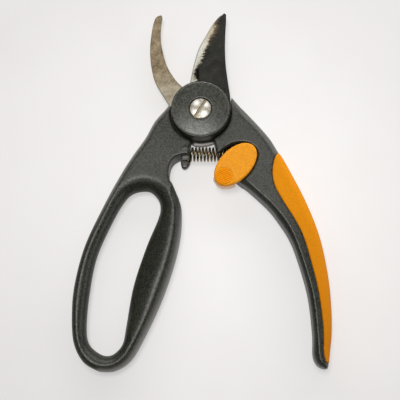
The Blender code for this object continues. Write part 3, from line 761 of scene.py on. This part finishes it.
# The grip darkens towards its lower end.
GRIP = speckled_plastic("orange_grip_finish", (0.60, 0.205, 0.0), (0.67, 0.238, 0.0), 0.66, 1.6, 0.25,
                        0.1, darkening_along_y=(-125.0, -45.0, (0.48, 0.155, 0.0)))
TAN = hook_finish()
ZINC = plated_finish()
BRIGHT = screw_finish()
BLADE = coated_blade_finish()
SPRING = spring_finish()
BEARING = speckled_plastic("bearing_nylon_finish", (0.60, 0.58, 0.52), (0.70, 0.68, 0.62), 0.5)


# Handles

def handle_top(grid):
    return NECK_TOP + (GRIP_TOP - NECK_TOP) * smooth(-grid.y, 28.0, 66.0)


def near_crisp(grid, crisp, roomy):
    """Edge radius: small beside the crisp edges, growing to the roomy one away from them."""
    return np.minimum(roomy, 0.45 + 0.7 * distance(grid.x, grid.y, crisp))


def make_loop_handle():
    left = curve_through(LOOP_LEFT, 1.0)
    right = curve_through(LOOP_RIGHT, 1.0)
    notch = curve_through(LOOP_NOTCH, 0.8)
    face = curve_through(LOOP_FACE, 0.8)
    rim = arc(ARC_R, *LOOP_ARC, 30)
    hole = curve_through(FINGER_HOLE, 1.0, closed=True)
    ridge = curve_through(LOOP_RIDGE, 1.0, closed=True)
    outline = joined(left, right, notch, face, rim)
    crisp = chained(notch, face, rim, left[:1])
    grid = Grid((-69.5, -141.5, -1.5), (-3.5, 7.0, 17.0), CELL)
    x, y = grid.x, grid.y
    edge = depth(x, y, outline)
    hole_depth = depth(x, y, hole)
    to_left, to_right = distance(x, y, left), distance(x, y, right)
    side = smooth(to_left / (to_left + to_right + 1e-6), 0.15, 0.85)
    outer_radius = near_crisp(grid, crisp, 3.0 + 1.4 * side)
    past_ridge = depth(x, y, ridge)
    blunt = RIDGE_BLUNT * (1.0 - 0.6 * smooth(y, -62.0, -46.0))
    blunt = np.sqrt(past_ridge ** 2 + blunt ** 2)
    beyond = 0.5 * (blunt - past_ridge)
    reach = beyond + np.maximum(edge, 0) + 0.01
    roll = (0.2 * beyond + 0.24 * beyond ** 2 / reach) * smooth(-y, 40.0, 56.0)
    within = 0.5 * (blunt + past_ridge)
    slope = 0.33 * within + 0.02 * within ** 2
    top = handle_top(grid) - roll - slope
    bottom = BOTTOM + roll + slope
    solid = plate_field(grid, edge, outer_radius, top, bottom)
    band = plate_field(grid, -hole_depth, np.full(x.shape, BAND_R), top, bottom)
    solid = np.maximum(solid, band)
    seat_top = SPRING_CUP_TOP + 0.4 * (y + 23.6)
    nub_top = NUB_Z[1] + (seat_top - NUB_Z[1]) * smooth(y, -27.8, -25.6)
    nub_edge = depth(x, y, curve_through(NUB, 0.5, closed=True))
    nub = slab_field(grid, nub_edge, NUB_Z[0], grid.lift(nub_top))
    solid = soft_union(solid, nub, 0.5)
    slot = slab_field(grid, depth(x, y, BLADE_TANG) + GAP, BLADE_Z[0] - GAP, BLADE_Z[1] + GAP)
    lip_room = slab_field(grid, HUB_LIP_R + GAP - np.hypot(x, y), HOOK_Z[0] - GAP, BLADE_Z[1] + GAP)
    solid = np.maximum(solid, -lip_room)
    mouth, seat = (0.0, *SPRING_START[1:]), (SPRING_SEAT, *SPRING_START[1:])
    pocket = rod_field(grid, mouth, seat, POCKET_R)
    solid = soft_cut(np.maximum(solid, -slot), pocket, 0.2)
    verts, faces = surface(grid, solid)
    handle = new_object("loop_handle_shell", verts, faces, NYLON_WITH_PAINTED_SHEEN, BLADE_SIDE, ["loop_handle"])
    x, y = verts[:, 0], verts[:, 1]
    # Painted highlights: the nub's top lighter, and a sheen along the left edge of the neck and along the
    # outer edge of the right bar.
    nub_sheen = smooth(depth(x, y, NUB), 0.1, 1.6) * smooth(-y, 24.0, 25.0)
    edge_sheen = 0.85 * smooth(-distance(x, y, left), -2.8, -0.2) * smooth(y, -75.0, -40.0)
    right_bar_sheen = 0.8 * smooth(-distance(x, y, right), -3.6, 0.0) ** 2 * smooth(-y, 48.0, 70.0)
    add_values(handle, "painted_sheen", np.maximum(np.maximum(nub_sheen, edge_sheen), right_bar_sheen))


def lever_loop(extra, turn=0.0):
    axes = (LEVER_AXES[0] + extra, LEVER_AXES[1] + extra)
    return turned_about(oval(LEVER_CENTRE, axes, LEVER_TURN, 90), LEVER_PIN, turn)


def make_lock_handle():
    outer = curve_through(LOCK_OUTER, 1.0)
    flank = curve_through(LOCK_FLANK, 1.0)
    notch = curve_through(LOCK_NOTCH, 0.8)
    face = curve_through(LOCK_FACE, 0.8)
    rim = arc(ARC_R, *LOCK_ARC, 30)
    outline = joined(outer, flank, notch, face, rim)
    crisp = chained(notch, face, rim, outer[:1])
    grid = Grid((4.5, -140.5, -1.5), (70.0, 11.0, 17.0), CELL)
    x, y = grid.x, grid.y
    edge = depth(x, y, outline)
    to_outer, to_flank = distance(x, y, outer), distance(x, y, flank)
    inward = smooth(to_outer / (to_outer + to_flank + 1e-6), 0.3, 0.7)
    radius = near_crisp(grid, crisp, 4.2 - 2.0 * inward)
    step_line = curve_through(LOCK_STEP, 1.0)
    away = distance(x, y, step_line)
    shelf = joined(step_line, [(66.0, -150.0), (0.0, -150.0), (0.0, -34.0)])
    past = np.where(inside(x, y, shelf), away, -away)
    down = np.maximum(past, 0)
    drop = (0.4 * smooth(past, -0.3, 0.15) + 0.30 * down + 0.08 * down ** 2) * smooth(-y, 33.0, 39.0)
    drop = np.minimum(drop, 5.0)
    drop = drop + 0.15 * np.maximum(-past, 0) * smooth(-y, 40.0, 90.0)
    shoulder = np.maximum(5.0 - to_outer, 0) * smooth(y, -30.0, -18.0) * smooth(-y, -6.0, 4.0)
    drop = drop + 0.05 * shoulder ** 2
    top, bottom = handle_top(grid) - drop, BOTTOM + drop
    body = plate_field(grid, edge, radius, top, bottom)
    seam = curve_through(GRIP_INNER, 1.0)
    grip = joined(outer[nearest(outer, seam[0]):nearest(outer, seam[-1]) + 1], seam[::-1])
    in_grip = depth(x, y, grip)
    away_seam = distance(x, y, seam)
    beyond_seam = inside(x, y, joined(seam, [(90.0, -135.0), (90.0, -22.0)]))
    seam_side = np.where(beyond_seam, away_seam, -away_seam)
    bed = grid.lift(GRIP_SWELL * smooth(seam_side, -0.15, 0.35))
    solid = body + bed
    half = -LEVER_TRAVEL / 2
    floor = LEVER_Z[0] - GAP
    for loop in (CRESCENT, lever_loop(0.35), lever_loop(0.35, half), lever_loop(0.35, 2 * half)):
        recess = slab_field(grid, depth(x, y, loop), floor, 30.0)
        solid = np.maximum(solid, -recess)
    trench = np.minimum(depth(x, y, CRESCENT) - 0.5, depth(x, y, lever_loop(2.3, half)))
    solid = np.maximum(solid, -slab_field(grid, trench, TRENCH_FLOOR, 30.0))
    hub_room = slab_field(grid, HOOK_SEAT_R + GAP - np.hypot(x, y), HOOK_Z[0] - GAP, HOOK_Z[1] + GAP)
    solid = np.maximum(solid, -hub_room)
    notch_cut = slab_field(grid, depth(x, y, NUB_NOTCH), -5.0, NUB_Z[1] + GAP)
    solid = np.maximum(solid, -notch_cut)
    slot = slab_field(grid, depth(x, y, HOOK_TANG) + GAP, HOOK_Z[0] - GAP, HOOK_Z[1] + GAP)
    pocket = rod_field(grid, (0.0, *SPRING_END[1:]), SPRING_END, POCKET_R)
    from_pin = np.hypot(x - LEVER_PIN[0], y - LEVER_PIN[1])
    pin = slab_field(grid, PIN_ROOM_R - from_pin, -5.0, PIN_ROOM_TOP)
    solid = soft_cut(np.maximum(np.maximum(solid, -slot), -pin), pocket, 0.3)
    verts, faces = surface(grid, solid)
    handle = new_object("lock_handle_shell", verts, faces, NYLON_WITH_PAINTED_SHEEN, HOOK_SIDE, ["lock_handle"])
    x, y = verts[:, 0], verts[:, 1]
    # Painted highlights: a sheen along the outer edge of the neck, and the upper part of the handle a little
    # lighter.
    edge_sheen = 0.45 * smooth(-distance(x, y, outer), -5.5, 0.0) * smooth(y, -50.0, -30.0)
    add_values(handle, "painted_sheen", np.maximum(edge_sheen, 0.07 * smooth(y, -70.0, -45.0)))
    cover = np.maximum(body - 0.12, -grid.lift(seam_side - 0.1))
    cover = np.maximum(cover, BOTTOM - grid.z)
    verts, faces = surface(grid, np.maximum(cover, -grid.lift(in_grip + 2.0)))
    new_object("soft_grip_cover", verts, faces, GRIP, HOOK_SIDE, ["soft_grip"])


# Lever

def make_lever():
    grid = Grid((4.5, -45.0, 0.5), (34.0, -14.5, 17.2), FINE_CELL)
    x, y = grid.x, grid.y
    edge = depth(x, y, lever_loop(0.0))
    tall = np.maximum(LEVER_Z[0] - grid.z, grid.z - LEVER_Z[1])
    radius = 1.0
    plate = eased(radius - grid.lift(edge), tall + radius, radius)
    plate = np.where(grid.z < LEVER_Z[1] - 1.3, np.maximum(-grid.lift(edge), tall), plate)
    loop = oval(LEVER_CENTRE, (LEVER_AXES[0] - 0.2, LEVER_AXES[1] - 0.2), LEVER_TURN, 360)
    first, last = BLOCK_SPAN
    block = loop[first:last] + [(16.2, -37.6), (12.6, -35.0), (10.6, -33.6)]
    thumb = slab_field(grid, depth(x, y, block), BLOCK_BOTTOM, LEVER_Z[0] + 1.0)
    solid = soft_union(plate, thumb, 0.3)
    catch = slab_field(grid, LUG_R - np.hypot(x - LUG[0], y - LUG[1]), *LUG_Z)
    solid = np.minimum(solid, catch)
    from_pad = np.hypot(x - THUMB_PAD[0], y - THUMB_PAD[1])
    bed = slab_field(grid, THUMB_PAD_R - 0.05 - from_pad, THUMB_BED_FLOOR, 30.0)
    verts, faces = surface(grid, np.maximum(solid, -bed))
    new_object("lever_shell", verts, faces, ORANGE, LEVER, ["lock_lever"])


def make_thumb_pad():
    """A shallow disc crossed by fine slanting ribs."""
    rings, segments = 46, 120
    rib_height, rib_pitch, rim_drop = 0.18, 1.05, 0.2
    foot, crown = THUMB_PAD_Z
    verts, faces = [], []
    slant = radians(62.0)
    for ring in range(rings + 1):
        radius = THUMB_PAD_R * ring / rings
        for i in range(segments):
            a = 2 * pi * i / segments
            px, py = radius * cos(a), radius * sin(a)
            across = px * cos(slant) + py * sin(slant)
            rib = rib_height * cos(2 * pi * across / rib_pitch) * min(1.0, (THUMB_PAD_R - radius) / 0.5)
            rounding = rim_drop * max(0.0, (radius - THUMB_PAD_R + 0.6) / 0.6) ** 2
            verts.append((THUMB_PAD[0] + px, THUMB_PAD[1] + py, crown + rib - rounding))
    for i in range(segments):
        verts.append((*verts[rings * segments + i][:2], foot))
    verts.append((*THUMB_PAD, foot))
    for ring in range(rings + 1):
        for i in range(segments):
            j = (i + 1) % segments
            low = ring * segments
            faces.append((low + i, low + segments + i, low + segments + j, low + j))
    last = (rings + 1) * segments
    for i in range(segments):
        faces.append((last + i, len(verts) - 1, last + (i + 1) % segments))
    new_object("thumb_pad_ribbed", verts, faces, PAD, LEVER, ["thumb_pad"])


# Pivot

def rounded(corners, radius):
    """A profile with its corners rounded: corners are (r, z, share of the radius)."""
    steps = 5
    found = []
    count = len(corners)
    for i, (r, z, share) in enumerate(corners):
        if not share:
            found.append((r, z))
            continue
        here = np.array((r, z))
        before = np.array(corners[i - 1][:2]) - here
        after = np.array(corners[(i + 1) % count][:2]) - here
        start = here + before / np.linalg.norm(before) * radius * share
        end = here + after / np.linalg.norm(after) * radius * share
        for k in range(steps + 1):
            t = k / steps
            point = start * (1 - t) ** 2 + 2 * here * t * (1 - t) + end * t * t
            found.append((float(point[0]), float(point[1])))
    return found


def make_caps():
    low, high = FRONT_CAP_Z
    hole = SCREW_HEAD_R + 0.32
    crown = []
    for k in range(13):
        r = CAP_R - 0.9 - (CAP_R - 0.9 - hole - 0.3) * k / 12
        crown.append((r, high + 0.15 - 1.1 * (r / CAP_R) ** 2.2, 0))
    cap = rounded([
        (9.7, low, 0), (CAP_R, low, 0.5), (CAP_R, high - 1.25, 0.7), (CAP_R - 0.2, high - 0.65, 0.5),
        *crown, (hole, high - 0.1, 0.2), (hole, 16.9, 0), (2.4, 16.9, 0), (2.4, 13.7, 0), (3.9, 13.7, 0),
        (3.9, 13.0, 0), (HUB_BORE_R, 13.0, 0), (HUB_BORE_R, low + 0.9, 0), (9.7, low + 0.9, 0),
    ], 0.9)
    verts, faces = turned(cap, 128, True)
    new_object("front_cap_moulding", verts, faces, CAP, HOOK_SIDE, ["front_pivot_cap"], 32)
    rear = rounded([
        (6.7, 0.0, 0.3), (CAP_R - 0.9, 0.0, 0.8), (CAP_R, 0.9, 0.8), (CAP_R, REAR_CAP_TOP, 0.4),
        (9.7, REAR_CAP_TOP, 0), (9.7, 4.4, 0), (HUB_BORE_R, 4.4, 0), (HUB_BORE_R, 3.5, 0), (3.9, 3.5, 0),
        (3.9, 2.3, 0), (6.7, 2.3, 0),
    ], 0.9)
    verts, faces = turned(rear, 128, True)
    new_object("rear_cap_moulding", verts, faces, CAP, HOOK_SIDE, ["rear_pivot_cap"], 32)


def make_screw():
    """Domed head with a straight slot, and four lobes of painted highlight."""
    profile = [(0, 4.2), (2.1, 4.2), (2.1, 17.7), (SCREW_HEAD_R, 17.7), (SCREW_HEAD_R, SCREW_RIM - 0.3)]
    for k in range(1, 5):
        a = k / 4 * pi / 2
        profile.append((SCREW_HEAD_R - 0.35 * (1 - cos(a)), SCREW_RIM - 0.3 + 0.35 * sin(a)))
    rings = 9
    for k in range(1, rings):
        r = (SCREW_HEAD_R - 0.4) * (1 - k / rings)
        profile.append((r, SCREW_RIM + 0.05 + 0.5 * (1 - (r / SCREW_HEAD_R) ** 2)))
    profile.append((0, SCREW_RIM + 0.55))
    verts, faces = turned(profile, 96, False)
    screw = new_object("pivot_screw_head", verts, faces, BRIGHT, HOOK_SIDE,
                       ["pivot_screw"], 35)
    half, wide = SCREW_HEAD_R + 1.0, SLOT_WIDTH / 2
    slot = turned_about([(-half, -wide), (half, -wide), (half, wide), (-half, wide)], (0, 0), SLOT_ANGLE)
    mesh = bpy.data.meshes.new("slot_cutter")
    corners = [(x * MM, y * MM, z * MM) for z in (SLOT_FLOOR, 24.0) for x, y in slot]
    walls = [(i, (i + 1) % 4, 4 + (i + 1) % 4, 4 + i) for i in range(4)]
    mesh.from_pydata(corners, [], [(3, 2, 1, 0), (4, 5, 6, 7)] + walls)
    cutter = bpy.data.objects.new("slot_cutter", mesh)
    bpy.context.scene.collection.objects.link(cutter)
    modifier = screw.modifiers.new("slot", "BOOLEAN")
    modifier.object = cutter
    modifier.operation = "DIFFERENCE"
    bake_modifiers(screw)
    bpy.data.objects.remove(cutter)
    screw.data.set_sharp_from_angle(angle=radians(35))
    places = np.array([tuple(v.co) for v in screw.data.vertices]) / MM
    radius, angle = np.hypot(places[:, 0], places[:, 1]), np.arctan2(places[:, 1], places[:, 0])
    # The shine values: four lobes round the dome, a painted highlight.
    lobes = 0.5 + 0.5 * np.cos(4 * (angle - radians(35.0)))
    add_values(screw, "shine", lobes * np.exp(-((radius - 3.6) / 1.5) ** 2))


def bake_modifiers(obj):
    """Replaces the mesh with what its modifiers make of it."""
    graph = bpy.context.evaluated_depsgraph_get()
    made = bpy.data.meshes.new_from_object(obj.evaluated_get(graph))
    obj.modifiers.clear()
    obj.data = made


# Jaws

def make_tang(name, outline, heights, finish, body, values):
    top, bottom = level(heights[1] - TANG_INSET), level(heights[0] + TANG_INSET)
    verts, faces = sheet_metal([outline], top, bottom, 0.1, 2.5)
    tang = new_object(name, verts, faces, finish, body, sharp=30)
    for key, value in values.items():
        add_values(tang, key, np.full(len(verts), value))


def make_blade():
    spine = curve_through(BLADE_SPINE, 1.0)
    edge = curve_through(BLADE_EDGE, 0.8)
    seated = arc(HUB_SEAT_R, 166.0, 238.0, 40)
    hub = chained(arc(HUB_R, 114.0, 166.0, 30), seated, arc(HUB_R, 238.0, 352.0, 60))
    outline = joined(spine, edge, hub)[::-1]
    bore = arc(HUB_BORE_R, 0.0, 354.0, 59)
    shoulder = curve_through(BEVEL_TOP, 0.8)

    def across(x, y):
        to_edge = distance(x, y, edge)
        return to_edge / (to_edge + distance(x, y, shoulder) + 1e-6)

    def top(x, y):
        outside = inside(x, y, joined(edge, shoulder[::-1])) | (distance(x, y, edge) < 0.05)
        return BLADE_Z[1] - np.where(outside, BEVEL_DROP * (1 - across(x, y)), 0.0)

    verts, faces = sheet_metal([outline, bore], top, level(BLADE_Z[0]), 0.15, 0.75)
    blade = new_object("blade_plate", verts, faces, BLADE, BLADE_SIDE,
                       ["cutting_blade"], sharp=30)
    x, y = verts[:, 0], verts[:, 1]
    to_shoulder = distance(x, y, shoulder)
    ground = inside(x, y, joined(edge, shoulder[::-1])) | (distance(x, y, edge) < 0.3)
    bare = 1.0 + np.where(ground, -to_shoulder, to_shoulder) / 2.4
    bare = bare + 1.2 * smooth(y, 50.0, 56.0)
    bare = np.where(verts[:, 2] < BLADE_Z[0] + 0.15, 9.0, bare)
    add_values(blade, "from_edge", bare)
    add_values(blade, "rim", np.where(distance(x, y, edge) < 0.3, 1.0, 0.0))
    add_values(blade, "tarnish", 0.85 * smooth(y, 37.0, 51.0))
    # Painted shade for the hollow of the grinding relief: near black inside this outline.
    patch = curve_through(BLADE_RELIEF_SHADE, 0.8, closed=True)
    add_values(blade, "relief_painted_shade", np.clip(depth(x, y, patch) / 0.5 + 0.5, 0, 1))
    make_tang("blade_tang", BLADE_TANG[::-1], BLADE_Z, BLADE, BLADE_SIDE,
              {"from_edge": 9.0, "relief_painted_shade": 0.0, "rim": 0.0, "tarnish": 0.0})


def make_hook():
    outer = curve_through(HOOK_OUTER, 0.9)
    inner = curve_through(HOOK_INNER, 0.9)
    lip = arc(HUB_LIP_R, *HUB_LIP_ARC, 40)
    seated = arc(HOOK_SEAT_R, 318.0, 388.0, 50)
    hub = chained(arc(HUB_R, 184.0, HUB_LIP_ARC[0], 50), lip, arc(HUB_R, HUB_LIP_ARC[1], 318.0, 20),
                  seated, arc(HUB_R, 388.0, 477.0, 60))
    outline = joined(outer, hub, inner)
    bore = arc(HUB_BORE_R, 0.0, 354.0, 59)
    dent = curve_through(HOOK_DENT, 0.3)

    def top(x, y):
        return HOOK_Z[1] - 0.14 * np.exp(-(distance(x, y, dent) / 0.35) ** 2)

    verts, faces = sheet_metal([outline, bore], top, level(HOOK_Z[0]), 0.3, 0.8)
    plate = new_object("hook_plate", verts, faces, TAN, HOOK_SIDE, ["hook_jaw"], sharp=30)
    x, y = verts[:, 0], verts[:, 1]
    bare_lip = np.where((y < -16.0) & inside(x, y, BARE_LIP), 1.0, 0.0)
    add_values(plate, "clean", bare_lip)
    # Painted shade: below about y = 2 mm, all but the bare lip is painted near black, as it lies under the
    # cap.
    add_values(plate, "painted_shade", (1 - bare_lip) * smooth(-y, -4.0, -2.0))
    add_values(plate, "paler_near_pivot", 1 - smooth(y, 6.0, 30.0))
    # The tang inside the handle is painted near black: painted shade.
    make_tang("hook_tang", HOOK_TANG, HOOK_Z, TAN, HOOK_SIDE,
              {"clean": 0.0, "painted_shade": 1.0, "paler_near_pivot": 0.0})


# Spring

def make_spring():
    start, end = np.array((SPRING_SEAT + 0.1, *SPRING_START[1:])), np.array(SPRING_END)
    ahead = (end - start) / np.linalg.norm(end - start)
    side = np.cross(ahead, (0, 0, 1.0))
    side /= np.linalg.norm(side)
    up = np.cross(side, ahead)
    steps, around = SPRING_TURNS * 40, 14
    last_turn = 1.0 / SPRING_TURNS
    open_pitch = (1 - 2 * CLOSED_PITCH * last_turn) / (1 - 2 * last_turn)
    verts, faces = [], []

    def centre(i):
        share = i / steps
        a = 2 * pi * SPRING_TURNS * share
        if share < last_turn:
            spread = share * CLOSED_PITCH
        elif share > 1 - last_turn:
            spread = 1 - (1 - share) * CLOSED_PITCH
        else:
            spread = last_turn * CLOSED_PITCH + (share - last_turn) * open_pitch
        return start + (end - start) * spread + (side * cos(a) + up * sin(a)) * SPRING_R

    for i in range(steps + 1):
        here = centre(i)
        along = centre(min(i + 1, steps)) - centre(max(i - 1, 0))
        along /= np.linalg.norm(along)
        out = np.cross(along, ahead)
        out /= np.linalg.norm(out)
        other = np.cross(along, out)
        for k in range(around):
            a = 2 * pi * k / around
            verts.append(here + (out * cos(a) + other * sin(a)) * WIRE_R)
    for i in range(steps):
        for k in range(around):
            j = (k + 1) % around
            base = i * around
            faces.append((base + k, base + j, base + around + j, base + around + k))
    faces.append(tuple(range(around))[::-1])
    faces.append(tuple(steps * around + k for k in range(around)))
    spring = new_object("spring_coil", verts, faces, SPRING, None, ["return_spring"], 50)
    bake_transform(spring)


# Nodes whose own shape is kept

def finish_kept_nodes():
    kept = {
        "pivot_nut": ZINC, "pivot_bush": ZINC, "spring_washer": ZINC, "lever_pin": ZINC,
        "front_thrust_washer": BEARING, "rear_thrust_washer": BEARING,
    }
    for name, finish in kept.items():
        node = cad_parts[name]
        if not node.material_slots:
            node.data.materials.append(finish)
        for slot in node.material_slots:
            slot.material = finish


# Surroundings

def make_floor():
    size, z = PAPER_SIZE, BOTTOM * MM - PAPER_DROP
    mesh = bpy.data.meshes.new("paper")
    corners = [(-size, -size, z), (size, -size, z), (size, size, z), (-size, size, z)]
    mesh.from_pydata(corners, [], [(0, 1, 2, 3)])
    floor = bpy.data.objects.new("paper", mesh)
    bpy.context.scene.collection.objects.link(floor)
    n = Nodes("paper_finish", 0.85, specular=0.1)
    tone = n.noise(0.02, 3.0)
    colour = n.ramp(tone, (0.3, (0.34, 0.328, 0.326)), (0.7, (0.36, 0.35, 0.348)))
    mesh.materials.append(n.finish(colour, None, n.bump(n.noise(1.2), 0.05, 0.05)))
    # Painted light: the paper glows, brightest round its centre and fading towards the corners, which
    # lightens the shadows cast on it.
    away = n.add("ShaderNodeVectorMath", {0: n.place, 1: PAPER_CENTRE}, operation="DISTANCE")
    glow = n.between(away.outputs["Value"], *GLOW_REACH, PAPER_GLOW, CORNER_GLOW)
    n.fill(n.shader, {"Emission Color": (1.0, 0.985, 0.975), "Emission Strength": glow})


def area_light(name, place, size, power, colour=(1, 1, 1)):
    light = bpy.data.lights.new(name, "AREA")
    light.shape = "RECTANGLE"
    light.size, light.size_y = size
    light.energy = power
    light.color = colour
    lamp = bpy.data.objects.new(name, light)
    bpy.context.scene.collection.objects.link(lamp)
    lamp.location = place
    lamp.rotation_euler = (Vector(place) - Vector(LIGHT_AIM)).to_track_quat("Z", "Y").to_euler()


def make_lights():
    area_light("overhead", (-0.06, -0.02, 0.85), (0.24, 0.24), 4.2, (1.0, 0.988, 0.955))
    area_light("right_window", (1.0, -0.14, 0.26), (1.0, 0.35), 3.0, (0.97, 0.98, 1.0))
    area_light("far_window", (0.1, 0.85, 0.45), (1.9, 0.45), 11.0)
    world = bpy.data.worlds.new("studio")
    bpy.context.scene.world = world
    world.use_nodes = True
    background = world.node_tree.nodes["Background"]
    background.inputs["Color"].default_value = (0.99, 0.985, 1.0, 1)
    background.inputs["Strength"].default_value = WORLD_STRENGTH


def make_camera():
    tilt, azimuth = radians(CAMERA_TILT), radians(CAMERA_AZIMUTH)
    back = Vector((sin(tilt) * sin(azimuth), -sin(tilt) * cos(azimuth), cos(tilt)))
    right = Vector((0, 1, 0)).cross(back).normalized()
    up = back.cross(right)
    place = (Vector(CAMERA_TARGET) + back * CAMERA_DISTANCE) * MM
    data = bpy.data.cameras.new("camera")
    data.sensor_width = SENSOR
    data.lens = CAMERA_LENS
    data.clip_start = 0.01
    camera = bpy.data.objects.new("camera", data)
    camera.matrix_world = Matrix((
        (right.x, up.x, back.x, place.x), (right.y, up.y, back.y, place.y),
        (right.z, up.z, back.z, place.z), (0, 0, 0, 1)))
    bpy.context.scene.collection.objects.link(camera)
    bpy.context.scene.camera = camera
    bpy.context.scene.view_settings.view_transform = "Standard"


make_camera()
make_floor()
make_lights()
make_loop_handle()
make_lock_handle()
make_lever()
make_thumb_pad()
make_caps()
make_screw()
make_blade()
make_hook()
make_spring()
finish_kept_nodes()
